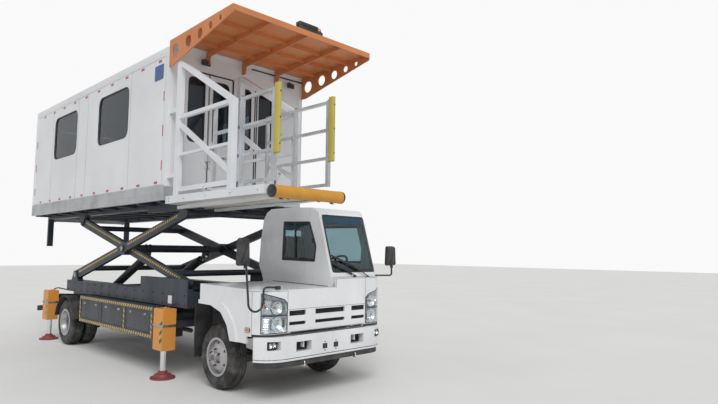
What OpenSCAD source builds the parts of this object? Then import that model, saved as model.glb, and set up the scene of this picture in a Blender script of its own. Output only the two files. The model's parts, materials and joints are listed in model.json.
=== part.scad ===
// Passenger lift truck for aircraft: a light truck with a half cab, a scissor lift,
// a van body that rides on it, and a boarding platform under a canopy.
// Millimetres, +X forward, +Y to the vehicle's left, +Z up, ground at z = 0.
// Lengths along the vehicle are measured from the front axle.

/* [Wheels and axles] */
// Distance between the axles
wheelbase = 4830; // [4600:10:5000]
// Radius of a tyre
tyre_r = 400; // [385:1:410]
// Width of a tyre
tyre_w = 215; // [195:1:225]
// Radius of the tyre's bead, where the rim holds it
bead_r = 222; // [215:1:235]
// Middle of a front tyre, from the centre line
front_tyre_y = 806; // [790:1:820]
// Middle of an outer rear tyre, from the centre line
rear_tyre_y = 992; // [980:1:1005]
// Distance between the two tyres of a rear pair
twin_gap = 245; // [240:1:255]
// Kingpin, from the centre line
kingpin_y = 655; // [645:1:665]
// Radius of the wheel spindles
spindle_r = 32; // [28:1:36]

/* [Chassis] */
// Outer face of a frame rail, from the centre line
rail_y = 415; // [400:1:425]
// Width of a frame rail's flange
rail_w = 65; // [55:1:75]
// Height of a frame rail
rail_h = 200; // [180:1:220]
// Top of the frame rails
rail_top = 830; // [820:1:840]
// Thickness of the rails' steel
rail_t = 7; // [6:0.5:10]
// Rear end of the frame, behind the rear axle
frame_rear = 1620; // [1500:10:1700]

/* [Cab and deck] */
// Width of the cab and bumper
cab_w = 2040; // [2000:10:2060]
// Front face of the cab, ahead of the front axle
cab_front = 1060; // [1040:5:1080]
// Inner wall of the half cab, left of the centre line
cab_wall_y = 127; // [100:1:150]
// Thickness of the cab's walls
cab_t = 32; // [26:1:40]
// Top of the open deck beside the cab
deck_top = 1300; // [1280:5:1320]
// Height of the cab's roof
cab_roof = 2325; // [2300:5:2340]
// Ends of the cab's door, ahead of the front axle
door_ends = [-330, 720]; // [-400:10:760]

/* [Scissor lift] */
// Length of a scissor arm between its end pins
arm_l = 4070; // [4000:5:4100]
// Angle of the arms as the lift stands now
arm_angle = 13.8; // [12:0.1:16]
// Depth of an arm
arm_h = 160; // [140:2:170]
// Width of an arm
arm_w = 60; // [50:1:66]
// Rear pivots, ahead of the rear axle
pivot_ahead = 50; // [20:5:80]
// Height of the lower pivots
pivot_z = 1255; // [1250:1:1270]
// Outer face of the outer arms, from the centre line
arm_y = 965; // [955:1:970]
// Radius of the pins
pin_r = 30; // [26:1:32]
// Radius of the rollers
roller_r = 55; // [50:1:58]

/* [Lift cylinders] */
// Foot pin of a lift cylinder, ahead of the rear pivot and below it
foot_offset = [200, -420]; // [-430:5:220]
// Middle of a cylinder, from the centre line
cyl_y = 540; // [530:5:550]
// Distance of the rod's pin from the middle pin of the arms
lug_l = 130; // [126:1:136]
// Radius of a cylinder's barrel
barrel_r = 68; // [60:1:72]
// Radius of a cylinder's rod
rod_r = 42; // [36:1:48]

/* [Van body] */
// Width of the van body
van_w = 2390; // [2360:10:2400]
// Front wall, behind the front axle
van_front = 1000; // [980:5:1020]
// Length of the van body
van_l = 5800; // [5700:10:5850]
// Underside of the van body's sides
van_bottom = 2400; // [2390:5:2410]
// Height of the aluminium rail along the foot of each side
sill_h = 190; // [170:5:200]
// Top of the roof
van_top = 4580; // [4560:5:4600]
// Thickness of the walls, roof and floor
wall_t = 50; // [40:1:60]
// Width and height of a side window
window_size = [1170, 800]; // [700:10:1200]
// Radius of the windows' corners
window_r = 110; // [80:5:140]

/* [Platform] */
// Outer edge of the platform, right of the centre line
platform_y = 1173; // [1160:1:1190]
// Width of the platform
platform_w = 1040; // [1000:5:1060]
// Front edge of the platform, ahead of the front axle
platform_front = 1270; // [1250:5:1300]
// Top of the platform's floor
floor_z = 2450; // [2440:1:2460]
// Depth of the platform's edge beam
edge_h = 100; // [90:1:110]
// Square tube of the side trusses
truss_t = 80; // [70:1:90]
// Front post of a truss, ahead of the front axle
post_x = 560; // [540:5:600]
// Height of a truss's top rail above the floor
rail_above = 1090; // [1050:5:1120]
// Radius of the roll bumper
roll_r = 76; // [70:1:82]

/* [Canopy] */
// Front edge of the canopy, ahead of the front axle
canopy_front = 580; // [560:5:600]
// Height of the canopy's sheet at the wall
canopy_z = 4640; // [4620:5:4660]
// Rise of the canopy from the wall to its front edge
canopy_rise = 55; // [40:1:70]
// Thickness of the canopy's sheet and sides
canopy_t = 14; // [10:1:20]

/* [Jacks] */
// Front jacks behind the front axle, and rear jacks behind the rear axle
jack_behind = [1050, 860]; // [840:10:1080]
// Middle of a jack, from the centre line
jack_y = 1085; // [1070:1:1095]
// Length, width and height of a jack's box
jack_box = [270, 190, 550]; // [180:5:560]
// Underside of a jack's box
jack_z = 380; // [370:5:400]
// Radius of a jack's leg
leg_r = 40; // [36:1:44]
// Radius of a jack's foot
foot_r = 165; // [150:1:175]

/* [Tail lift] */
// Width of the tail lift's platform
tail_w = 1500; // [1400:10:1560]
// Depth of the tail lift's platform
tail_d = 1250; // [1200:10:1300]
// Thickness of the tail lift's platform
tail_t = 55; // [45:1:60]

/* [Hidden] */
$fn = 48;

seat_gap = 0.3;
fit = 0.05;
half_cab = cab_w / 2;
pivot_x = wheelbase - pivot_ahead;
jack_x = [jack_behind[0], wheelbase + jack_behind[1]];
half_van = van_w / 2;
van_rear = van_front + van_l;
tail_out = 110;
roll_x = platform_front + 90;
// The origin is below the middle of the whole length
axle_x = (van_rear + tail_out - roll_x - roll_r) / 2;

white = [0.86, 0.87, 0.86];
dark = [0.13, 0.15, 0.18];
black = [0.06, 0.06, 0.06];
steel = [0.62, 0.63, 0.64];
orange = [0.85, 0.42, 0.12];
glass = [0.2, 0.26, 0.3, 0.5];

// Frame of reference and small helpers

module from_axle() translate([axle_x, 0, 0]) children();
module both_sides() { children(); mirror([0, 1, 0]) children(); }
module block(from, to) translate(from) cube(to - from);
// A flat outline in x and z, as thick as from y0 to y1
module along_y(y0, y1) translate([0, y1, 0]) rotate([90, 0, 0])
    linear_extrude(y1 - y0) children();
// A flat outline in y and z, as long as from x0 to x1
module along_x(x0, x1) translate([x0, 0, 0]) rotate([90, 0, 90])
    linear_extrude(x1 - x0) children();
module pin_y(x, z, r, y0, y1) translate([x, y0, z]) rotate([-90, 0, 0]) cylinder(r = r, h = y1 - y0);
module pin_x(y, z, r, x0, x1) translate([x0, y, z]) rotate([0, 90, 0]) cylinder(r = r, h = x1 - x0);
module rounded(size, r) {
    translate([r, 0]) square([size[0] - 2 * r, size[1]]);
    translate([0, r]) square([size[0], size[1] - 2 * r]);
    for (x = [r, size[0] - r], y = [r, size[1] - r]) translate([x, y]) circle(r);
}
// A square tube between two points of the x-z plane, its middle at y
module strut(a, b, y, t, w) {
    along = b - a;
    translate([a[0], y - w / 2, a[1]]) rotate([0, -atan2(along[1], along[0]), 0])
        translate([0, 0, -t / 2]) cube([norm(along), w, t]);
}
// Round tube through points, with a ball at each bend
module tube(points, r) {
    for (i = [0:len(points) - 2]) {
        a = points[i];
        d = points[i + 1] - a;
        translate(a) rotate([0, acos(d[2] / norm(d)), atan2(d[1], d[0])])
            cylinder(r = r, h = norm(d), $fn = 20);
    }
    for (p = points) translate(p) sphere(r = 1.12 * r, $fn = 20);
}
function arc(c, r, a0, a1, n) = [for (i = [0:n]) let (a = a0 + (a1 - a0) * i / n)
    [c[0] + r * cos(a), c[1] + r * sin(a)]];

// Chassis

bumper_x = [900, 1120];
bumper_z = [470, 750];
rail_bottom = rail_top - rail_h;
frame_front = bumper_x[0] - 1;
frame_end = -wheelbase - frame_rear;
// Cross members along the frame, from the front axle
cross_members = [frame_front - 49, -620, -0.39 * wheelbase, -0.65 * wheelbase, -wheelbase + 730,
    -wheelbase - 670, frame_end + 100];

module chassis_frame() color(dark) from_axle() {
    both_sides() difference() {
        block([frame_end, rail_y - rail_w, rail_bottom], [frame_front, rail_y, rail_top]);
        block([frame_end - 1, rail_y - rail_w - 1, rail_bottom + rail_t],
            [frame_front + 1, rail_y - rail_t, rail_top - rail_t]);
    }
    for (x = cross_members)
        block([x - 40, -rail_y + rail_t, rail_top - 90], [x + 40, rail_y - rail_t, rail_top - 20]);
    // Bar against running under the rear, with its two arms
    block([frame_end - 60, -underrun_y, underrun_z], [frame_end, underrun_y, underrun_z + 100]);
    both_sides() block([frame_end - 40, rail_y - rail_w, underrun_z], [frame_end, rail_y, rail_bottom + 20]);
}
underrun_y = 1080;
underrun_z = 480;

// Axles with their leaf springs

spring_w = 70;
spring_y = rail_y - rail_w / 2;
front_span = 1180;
rear_span = 1300;

// Leaf spring: three leaves, each an arc, below the rail
module leaf_spring(x, z, span, sag, leaves) {
    along_y(spring_y - spring_w / 2, spring_y + spring_w / 2) {
        for (i = [0:leaves - 1]) {
            part = 1 - 0.24 * i;
            r = span * span / (8 * sag);
            half = asin(part * span / 2 / r);
            translate([x, z + r - 12 * i]) difference() {
                circle(r, $fn = 360);
                circle(r - 11.9, $fn = 360);
                polygon([[0, 0], [-r * 3 * tan(half), -3 * r], [-4 * r, -3 * r], [-4 * r, 4 * r],
                    [4 * r, 4 * r], [4 * r, -3 * r], [r * 3 * tan(half), -3 * r]]);
            }
        }
    }
}

module spring_hangers(x, span, z_eye) {
    for (s = [-1, 1]) {
        pin_y(x + s * span / 2, z_eye, 24, spring_y - spring_w / 2, spring_y + spring_w / 2);
        along_y(spring_y - spring_w / 2 + 6, spring_y - spring_w / 2 + 16)
            polygon([[x + s * span / 2 - 22, z_eye], [x + s * span / 2 + 22, z_eye],
                [x + s * span / 2 + 50, rail_bottom], [x + s * span / 2 - 50, rail_bottom]]);
    }
}

beam_z = tyre_r - 60;
module axle_beam() along_x(-45, 45) for (s = [0, 1]) mirror([s, 0]) polygon([[0, beam_z - 50],
    [kingpin_y - 130, beam_z - 50], [kingpin_y - 55, tyre_r - 40], [kingpin_y, tyre_r - 40],
    [kingpin_y, tyre_r + 40], [kingpin_y - 60, tyre_r + 40], [kingpin_y - 190, beam_z + 40],
    [0, beam_z + 40]]);
module front_axle() color(dark) from_axle() {
    // Dropped beam with an I section between the spring seats and a bored boss at each end
    difference() {
        union() {
            axle_beam();
            both_sides() translate([0, kingpin_y, tyre_r - 48]) cylinder(r = 46, h = 96);
        }
        both_sides() translate([0, kingpin_y, tyre_r - 60]) cylinder(r = 20 + fit, h = 120);
        for (s = [-1, 1]) block([s * 33 - 18, -kingpin_y + 200, beam_z - 30],
            [s * 33 + 18, kingpin_y - 200, beam_z + 20]);
    }
    both_sides() {
        leaf_spring(0, beam_z + 66, front_span, 95, 4);
        block([-60, spring_y - spring_w / 2, beam_z + 30], [60, spring_y + spring_w / 2, beam_z + 60]);
        spring_hangers(0, front_span, beam_z + 66 + 95 - 6);
    }
}

rear_hub_y = rear_tyre_y - twin_gap / 2;
module rear_axle() color(dark) from_axle() translate([-wheelbase, 0, 0]) {
    // Banjo casing: a drum with a domed cover behind and the shaft's flange in front
    pin_x(0, tyre_r, 165, -75, 75);
    translate([-75, 0, tyre_r]) rotate([0, -90, 0]) cylinder(r1 = 160, r2 = 70, h = 75);
    pin_x(0, tyre_r, 60, 60, 250);
    pin_y(0, tyre_r, 62, -560, 560);
    both_sides() {
        pin_y(0, tyre_r, 150, 500, 560);
        pin_y(0, tyre_r, spindle_r, 550, rear_tyre_y);
        leaf_spring(0, tyre_r + 68, rear_span, 90, 5);
        block([-70, spring_y - spring_w / 2, tyre_r - 30], [70, spring_y + spring_w / 2, tyre_r + 66]);
        spring_hangers(0, rear_span, tyre_r + 68 + 90 - 6);
    }
}

// Engine as one block, radiator, gearbox, shaft and silencer

module powertrain() color(steel) from_axle() {
    engine_top = 1040;
    block([-420, -270, 560], [560, 270, engine_top]);
    block([730, -330, 600], [790, 330, 1060]);
    block([560, -60, 700], [730, 60, 820]);
    // Gearbox narrows towards the shaft
    along_y(-150, 150) polygon([[-420, 725], [-420, 500], [-900, 560],
        [-1150, 610], [-1150, 700], [-900, 725]]);
    shaft_z0 = 655;
    shaft_x1 = -wheelbase + 250;
    shaft_l = norm([shaft_x1 + 1140, shaft_z0 - tyre_r]);
    translate([-1140, 0, shaft_z0]) rotate([0, -90 - atan2(shaft_z0 - tyre_r, -shaft_x1 - 1140), 0])
        cylinder(r = 45, h = shaft_l - 3.6);
    // Silencer and its pipe, hung at the left rail
    pin_x(-rail_y - 130, 560, 105, -2700, -1950);
    pin_x(-rail_y - 130, 560, 32, -1950, -1300);
    pin_x(-rail_y - 130, 560, 32, -3300, -2700);
    block([-2350, -rail_y - 140, 650], [-2300, -rail_y - seat_gap, 700]);
}

// Cabinets under the scissor base, on both sides

cabinet_x = [-wheelbase + 830, -1260];
cabinet_l = cabinet_x[1] - cabinet_x[0];
cabinet_in = 700;
cabinet_door = 820;
cabinet_z = [500, 935];
cabinet_y = 1150;
module side_cabinets() color(dark) from_axle() both_sides() {
    difference() {
        block([cabinet_x[0], cabinet_in, cabinet_z[0]], [cabinet_x[1], cabinet_y, cabinet_z[1]]);
        for (i = [0:2]) translate([cabinet_x[0] + 40 + i * (cabinet_l - cabinet_door - 140) / 2, 0, 0])
            block([0, cabinet_y - 6, cabinet_z[0] + 60], [cabinet_door, cabinet_y + 1, cabinet_z[1] - 60]);
    }
    for (x = [cabinet_x[0] + 200, cabinet_x[0] + cabinet_l / 2, cabinet_x[1] - 240])
        block([x - 30, rail_y + seat_gap, 690], [x + 30, cabinet_in, 760]);
}

// Base of the scissor: side beams, roller tracks, cross members, jack arms

base_x = [-pivot_x - 370, -640];
base_z = [950, 1150];
track_end = 2050;
base_in = 760;
base_out = 990;
base_cross = [-pivot_x + 1700, -2100, -1100];
rear_cross = -pivot_x - 180;
module lift_base() color(dark) from_axle() {
    both_sides() {
        block([base_x[0], base_in, base_z[0]], [base_x[1], base_out, base_z[1]]);
        // Ears that carry the rear pivot of the outer arms
        for (y = [[arm_y - arm_w - 20, arm_y - arm_w - 6], [arm_y + 6, base_out]]) difference() {
            along_y(y[0], y[1]) polygon(concat([[-pivot_x - 150, base_z[1]]],
                arc([-pivot_x, pivot_z], 75, 160, 20, 8), [[-pivot_x + 150, base_z[1]]]));
            pin_y(-pivot_x, pivot_z, pin_r + fit, y[0] - 1, y[1] + 1);
        }
        // Subframe on the frame rails
        block([base_x[0], rail_y - rail_w, rail_top], [-900, rail_y, base_z[0]]);
        // Cylinder foot
        for (s = [-1, 1]) difference() {
            along_y(cyl_y + s * 52 - 8, cyl_y + s * 52 + 8) polygon(concat(
                [[rear_cross + 70, base_z[0] + 60], [rear_cross + 70, rail_top]],
                arc([foot_x, foot_z], 52, -100, 70, 8)));
            pin_y(foot_x, foot_z, pin_r + fit, cyl_y + s * 52 - 9, cyl_y + s * 52 + 9);
        }
    }
    for (x = base_cross) block([x - 40, -base_in, base_z[0]], [x + 40, base_in, base_z[0] + 90]);
    block([rear_cross, -base_in, base_z[0]], [rear_cross + 80, base_in, base_z[0] + 90]);
    block([rear_cross, -cyl_y - 70, rail_top], [rear_cross + 80, cyl_y + 70, base_z[0]]);
}
// Tracks of the lower rollers on the side beams, open towards the inside
module roller_tracks() color(dark) from_axle() both_sides() difference() {
    block([-track_end, arm_y - arm_w - 6, base_z[1] + seat_gap], [base_x[1], base_out, pivot_z + roller_r + 18]);
    block([-track_end - 1, arm_y - arm_w - 7, pivot_z - roller_r - 0.5],
        [base_x[1] + 1, arm_y + 10, pivot_z + roller_r + 1]);
}
// Arms that reach out from the frame rails to the jacks, each a box beam with a web on it
module jack_arms() color(dark) from_axle() both_sides() for (x = jack_x) {
    reach = [rail_y + seat_gap, jack_y - jack_box[1] / 2 - seat_gap];
    block([-x - 60, reach[0], rail_bottom + 30], [-x + 60, reach[1], rail_bottom + 130]);
    along_x(-x - 6, -x + 6) polygon([[reach[0], rail_top], [reach[1], rail_bottom + 230],
        [reach[1], rail_bottom + 120], [reach[0], rail_bottom + 120]]);
}
foot_x = -pivot_x + foot_offset[0];
foot_z = pivot_z + foot_offset[1];

// Jacks

module jack_boxes() color(orange) from_axle() both_sides() for (x = jack_x) {
    translate([-x, jack_y, jack_z]) difference() {
        translate([-jack_box[0] / 2, -jack_box[1] / 2, 0]) cube(jack_box);
        translate([0, 0, -1]) cylinder(r = leg_r + fit, h = 61);
        translate([0, 0, 59]) cylinder(r = leg_r + 12, h = jack_box[2] - 79);
        for (s = [-1, 1]) translate([s * guide_x, 0, -1]) cylinder(r = guide_r + 2, h = jack_box[2] - 19);
        // Open back of the box above the arm
        translate([-jack_box[0] / 2 + 20, -jack_box[1] / 2 - 1, jack_box[2] - 180])
            cube([jack_box[0] - 40, 25, 140]);
    }
}

leg_top = jack_box[2] + jack_z - 270;
guide_x = leg_r + 17;
guide_r = 7;
module jack_leg(x, side) color(steel) from_axle() translate([-x, side * jack_y, 0]) {
    cylinder(r = leg_r, h = leg_top);
    // Rods that keep the foot from turning
    for (s = [-1, 1]) translate([s * guide_x, 0, 80]) cylinder(r = guide_r, h = leg_top - 90);
    // Two-tier foot
    rotate_extrude() polygon([[0, 0], [foot_r, 0], [foot_r, 22], [foot_r - 45, 34], [foot_r - 60, 60],
        [leg_r + 24, 72], [leg_r + 20, 100], [0, 100]]);
}
module jack_leg_front_right() jack_leg(jack_x[0], -1);
module jack_leg_front_left() jack_leg(jack_x[0], 1);
module jack_leg_rear_right() jack_leg(jack_x[1], -1);
module jack_leg_rear_left() jack_leg(jack_x[1], 1);

// Mudguards of the rear wheels and flaps of the front wheels

guard_r = tyre_r + 75;
guard_in = rear_tyre_y - twin_gap - tyre_w / 2 - 10;
stay_x = 330;
liner_t = 7;
side_bottom = 665;
// Points of a front wheel's arch in x and z
arch = [[-255, 1053], [33, 1048], [264, 980], [404, 840], [477, side_bottom]];
module mudguards() color(black) from_axle() both_sides() {
    translate([-wheelbase, 0, 0]) {
        along_y(guard_in, 1130) difference() {
            translate([0, tyre_r]) intersection() {
                circle(guard_r);
                translate([-guard_r, 90]) square([2 * guard_r, guard_r]);
            }
            translate([0, tyre_r]) circle(guard_r - 12);
        }
        // Stays from the frame rail
        for (s = [-1, 1]) pin_y(s * stay_x, tyre_r + sqrt(pow(guard_r - 6, 2) - stay_x * stay_x), 14,
            rail_y + seat_gap, guard_in + 5);
    }
    // Liners of the front arches
    along_y(front_tyre_y - 110, half_cab - 55) polygon(concat(arch, [for (i = [len(arch) - 1:-1:0])
        arch[i] - liner_t * [i > 1 ? 0.8 : 0.1, i < 4 ? 1 : 0]]));
    // Flap behind the wheel, and the strip from it that holds the liner
    block([-540, front_tyre_y - 140, 330], [-528, front_tyre_y + 120, deck_under]);
    block([-530, front_tyre_y - 110, deck_under - 10], [arch[0][0] + 15, front_tyre_y - 60, deck_under - 1]);
    pin_y(-534, 720, 12, rail_y + seat_gap, front_tyre_y - 135);
}
deck_under = 1050;

// Front bumper

bumper_r = 320;
module bumper_outline(grow) {
    r = bumper_r + grow;
    y = half_cab + grow;
    intersection() {
        translate([bumper_x[0], -y]) square([bumper_x[1] - bumper_x[0] + grow, 2 * y]);
        union() {
            translate([bumper_x[0], -y + r]) square([bumper_x[1] - bumper_x[0] + grow, 2 * (y - r)]);
            for (s = [-1, 1]) translate([bumper_x[1] + grow - r, s * (y - r)]) circle(r);
        }
    }
}
// Slots and lamp recesses: middle y, width, low z, high z
bumper_slots = [[440, 230, 565, 676], [843, 140, 605, 700]];
slot_depth = 190;
tow_holes = [-110, 70];
// Black strip below the bumper, with its ends turned back
module valance() color(black) from_axle() translate([0, 0, bumper_z[0] - 68]) linear_extrude(68 - seat_gap)
    intersection() {
        difference() {
            bumper_outline(-18);
            translate([-12, 0]) bumper_outline(-30);
        }
        translate([bumper_x[0], -half_cab]) square([300, cab_w]);
    }
module front_bumper() color(white) from_axle() {
    difference() {
        translate([0, 0, bumper_z[0]]) linear_extrude(bumper_z[1] - bumper_z[0]) bumper_outline(0);
        translate([0, 0, bumper_z[0] - 1]) linear_extrude(bumper_z[1] - bumper_z[0] - 24)
            translate([-60, 0]) bumper_outline(-30);
        both_sides() for (s = bumper_slots)
            block([bumper_x[1] - slot_depth, s[0] - s[1] / 2, s[2]], [bumper_x[1] + 1, s[0] + s[1] / 2, s[3]]);
        for (y = tow_holes) block([bumper_x[1] - 40, y - 16, 569], [bumper_x[1] + 1, y + 16, 601]);
    }
    // Brackets to the frame
    both_sides() block([frame_front - 60, rail_y + seat_gap, 600], [bumper_x[1] - 29, rail_y + 12, 727]);
}

// Front panel across the whole width, with grille slots and lamp pockets

panel_z = [bumper_z[1] + seat_gap, 1390];
panel_t = 26;
corner_r = 230;
// Grille slots: low y, high y, low z, high z
grille = [[-620, -370, 970, 1030], [-220, 270, 970, 1030], [390, 630, 970, 1030],
    [-620, -370, 862, 902], [-220, 270, 862, 902], [390, 630, 862, 902]];
// Outline of a headlamp in y and z
lamp_outline = [[655, 790], [655, 1123], [700, 1165], [1025, 1254], [1025, 790]];
lamp_depth = 80;
lamp_t = 60;
module front_plan(inset) {
    r = corner_r - inset;
    y = half_cab - inset;
    translate([700, -y]) square([cab_front - 700 - inset - r, 2 * y]);
    translate([700, -y + r]) square([cab_front - 700 - inset, 2 * (y - r)]);
    for (s = [-1, 1]) translate([cab_front - inset - r, s * (y - r)]) circle(r);
}
module front_panel() color(white) from_axle() difference() {
    translate([0, 0, panel_z[0]]) linear_extrude(panel_z[1] - panel_z[0]) difference() {
        front_plan(0);
        front_plan(panel_t);
        translate([600, -half_cab - 1]) square([door_ends[1] + 60 - 600, cab_w + 2]);
    }
    for (g = grille) block([cab_front - 60, g[0], g[2]], [cab_front + 1, g[1], g[3]]);
    both_sides() along_x(cab_front - lamp_depth, cab_front + 1) polygon(lamp_outline);
    // Air gap above the bumper
    block([cab_front - 60, -600, panel_z[0] - 1], [cab_front + 1, 600, panel_z[0] + 34]);
    // The right half ends below the deck
    along_y(-half_cab - 1, cab_wall_y - seat_gap) polygon([[600, deck_at(600) - deck_t - seat_gap],
        [cab_front + 1, deck_at(cab_front + 1) - deck_t - seat_gap], [cab_front + 1, 1500], [600, 1500]]);
}

module headlamps() color([0.8, 0.84, 0.88]) from_axle() both_sides() intersection() {
    along_x(cab_front - lamp_depth + seat_gap, cab_front + 10) polygon([for (p = lamp_outline)
        [p[0] + seat_gap, p[1] + (p[1] > 800 ? -1 : 1) * seat_gap]]);
    translate([0, 0, 700]) linear_extrude(600) difference() {
        front_plan(2);
        front_plan(lamp_t);
    }
}

// Open deck beside the cab, with the right front wing

deck_rear = -260;
deck_t = 14;
// The deck falls a little towards the front
function deck_at(x) = deck_top - 26 * (x - deck_rear) / (cab_front - deck_rear);
module engine_deck() color(white) from_axle() {
    difference() {
        along_y(-half_cab, cab_wall_y - seat_gap) polygon([[deck_rear, deck_at(deck_rear)],
            [cab_front, deck_at(cab_front)], [cab_front, deck_at(cab_front) - deck_t],
            [deck_rear, deck_at(deck_rear) - deck_t]]);
        translate([0, 0, 600]) linear_extrude(900) difference() {
            translate([800, -half_cab - 1]) square([500, half_cab + 1]);
            front_plan(0);
        }
    }
    // Side panel over the wheel
    along_y(-half_cab, -half_cab + 24) polygon(concat([[deck_rear, deck_top - 4]], arch,
        [[door_ends[1] + 59, side_bottom], [door_ends[1] + 59, deck_at(door_ends[1]) - 6]]));
    // Flare that stands out along the arch
    along_y(-half_cab - 22, -half_cab + 2) polygon(concat([for (p = arch) p],
        [[620, 667], [540, 880], [400, 1030], [260, 1092], [deck_rear, 1100]]));
    // Rear wall of the deck
    block([deck_rear, -half_cab, 1053], [deck_rear + 20, cab_wall_y - seat_gap, deck_top - 6]);
}

// Half cab

floor_top = 1120;
screen_foot = [955, 1391];
screen_head = [690, 2240];
// Outline of the cab in x and z, from the foot of the rear wall round over the roof
cab_outline = [[-500, floor_top - 40], [-500, 1316], [-556, 1437], [-610, 1516], [-575, 1880], [-513, 2174],
    [-440, 2275], [-340, cab_roof - 3], [150, cab_roof], [560, cab_roof - 20], screen_head,
    screen_foot, [screen_foot[0], floor_top - 40]];
cab_inner = [[-500 + cab_t, floor_top], [-500 + cab_t, 1320], [-556 + cab_t, 1437], [-610 + cab_t, 1520],
    [-575 + cab_t, 1876], [-513 + cab_t, 2160], [-420, 2250], [-330, cab_roof - cab_t], [150, cab_roof - cab_t],
    [545, cab_roof - cab_t - 20], [664, 2220], [955 - cab_t, 1385], [955 - cab_t, floor_top]];
side_window = [[-66, 1605], [-40, 2130], [520, 2110], [650, 1790], [637, 1597]];
// Door opening of the left side in x and z
door_outline = [[door_ends[0], 1090], [door_ends[0], 2190], [600, 2170], [door_ends[1], 1790],
    [door_ends[1], side_bottom + 10], [490, side_bottom + 10], [404, 850], [264, 990], [33, 1058], [-200, 1090]];
windscreen_low = 1455;
cab_hinges = [1180, 1640];
hinge_at = [door_ends[1] - 3, half_cab + 9 + seat_gap];
// Half a hinge: its knuckle on the pin's line and a leaf towards the pillar or the door
module door_hinge(z, h, side) translate([hinge_at[0], hinge_at[1], z]) {
    difference() {
        union() {
            cylinder(r = 9, h = h);
            translate([side > 0 ? 0 : -40, -8.5, 0]) cube([40, 7, h]);
            translate([side > 0 ? 12 : -40, -11, 0]) cube([28, 4, h]);
        }
        if (side < 0) translate([0, 0, 5]) cylinder(r = 5 + seat_gap, h = h);
    }
    if (side > 0) translate([0, 0, -h + 10]) cylinder(r = 5, h = h);
}
// The windscreen leans back from its foot and bends round the left pillar
screen_lean = atan2(screen_foot[0] - screen_head[0], screen_head[1] - screen_foot[1]);
pillar_r = 120;
module on_screen() translate([screen_foot[0], 0, screen_foot[1]]) rotate([0, -screen_lean, 0]) children();
module screen_plan(inset) {
    r = pillar_r - inset;
    back = 3 * pillar_r;
    translate([-back, cab_wall_y]) square([back - inset, half_cab - pillar_r - cab_wall_y]);
    translate([-back, half_cab - pillar_r - 1]) square([back - pillar_r, pillar_r + 1 - inset]);
    translate([-pillar_r, half_cab - pillar_r]) circle(r);
}
module cab_shell() color(white) from_axle() {
    difference() {
        along_y(cab_wall_y, half_cab) polygon(cab_outline);
        along_y(cab_wall_y + cab_t, half_cab - 46) polygon(cab_inner);
        // Window in the inner wall
        along_y(cab_wall_y - 1, cab_wall_y + cab_t + 1) polygon(side_window);
        // Windscreen
        difference() {
            block([560, cab_wall_y + 45, windscreen_low], [1060, half_cab - 45, 2205]);
            along_y(0, half_cab) polygon([[400, 1300], [400, 2400], [640 - 30, 2230], [900, 1400]]);
        }
        // Door opening
        along_y(half_cab - 47, half_cab + 1) polygon(door_outline);
        // Rear window
        block([-700, 300, 1600], [-450, 880, 2050]);
        // Seats of the front panel and the headlamp
        translate([0, 0, 900]) linear_extrude(panel_z[1] + seat_gap - 900) difference() {
            translate([door_ends[1] + 60 - seat_gap, 0]) square([400, half_cab + 1]);
            front_plan(panel_t + seat_gap);
        }
        // Rounded front pillar
        on_screen() translate([0, 0, -20]) linear_extrude(1200) difference() {
            translate([-pillar_r, half_cab - pillar_r]) square(pillar_r + 60);
            screen_plan(0);
        }
    }
    // Left wing ahead of and behind the door
    along_y(half_cab - 24, half_cab) polygon([[door_ends[1] + 6, side_bottom], [door_ends[1] + 6, 1200],
        [door_ends[1] + 59, 1200], [door_ends[1] + 59, side_bottom]]);
    // Halves of the door hinges that the pillar carries
    for (z = cab_hinges) door_hinge(z + 41, 40, 1);
    along_y(half_cab - 46, half_cab) polygon([[-500, 1082], [-500, 1040], [door_ends[0] - 6, 1040],
        [door_ends[0] - 6, 1082]]);
}

// Glass of the windscreen, the inner wall and the rear wall
module cab_glass() color(glass) from_axle() {
    intersection() {
        on_screen() linear_extrude(1000) difference() {
            screen_plan(5);
            screen_plan(11);
        }
        block([560, cab_wall_y + 45 + seat_gap, windscreen_low + seat_gap],
            [1060, half_cab - 45 - seat_gap, 2205 - seat_gap]);
    }
    along_y(cab_wall_y + 12, cab_wall_y + 18) polygon([[-65, 1606], [-39, 2129], [519, 2109], [649, 1790],
        [636, 1598]]);
    intersection() {
        block([-700, 300 + seat_gap, 1600 + seat_gap], [-450, 880 - seat_gap, 2050 - seat_gap]);
        along_y(0, half_cab) polygon([[-600, 1600], [-540, 2050], [-534, 2050], [-594, 1600]]);
    }
}

// Seat, dashboard and steering wheel
seat_y = 590;
seat_w = 480;
seat_z = 1330;
module cab_seat() color(black) from_axle() translate([-330, seat_y + seat_w / 2, seat_z + seat_gap]) {
    // Cushion with a rounded front edge, and the back that leans from it
    rotate([90, 0, 0]) linear_extrude(seat_w) {
        square([430, 110]);
        square([480, 60]);
        translate([430, 60]) circle(50);
    }
    translate([-30, -10, 90]) rotate([90, 0, 0]) linear_extrude(seat_w - 20) rotate(10) {
        square([110, 505]);
        translate([55, 505]) circle(55);
    }
}
module cab_interior() color(black) from_axle() {
    block([-330, seat_y - 220, floor_top + seat_gap], [120, seat_y + 220, seat_z]);
    along_y(cab_wall_y + cab_t + 6, half_cab - 110) polygon([[600, 1240], [560, 1420], [640, 1470], [840, 1440],
        [860, 1300], [860, 1240]]);
    block([760, cab_wall_y + cab_t + 40, floor_top + seat_gap], [850, half_cab - 130, 1245]);
    // Steering column and wheel
    translate([620, seat_y, 1400]) rotate([0, -38, 0]) {
        cylinder(r = 28, h = 190);
        translate([0, 0, 180]) rotate_extrude() translate([195, 0]) circle(15, $fn = 20);
        for (a = [90, 210, 330]) rotate([0, 0, a]) translate([0, -14, 172]) cube([190, 28, 16]);
    }
}

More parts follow.
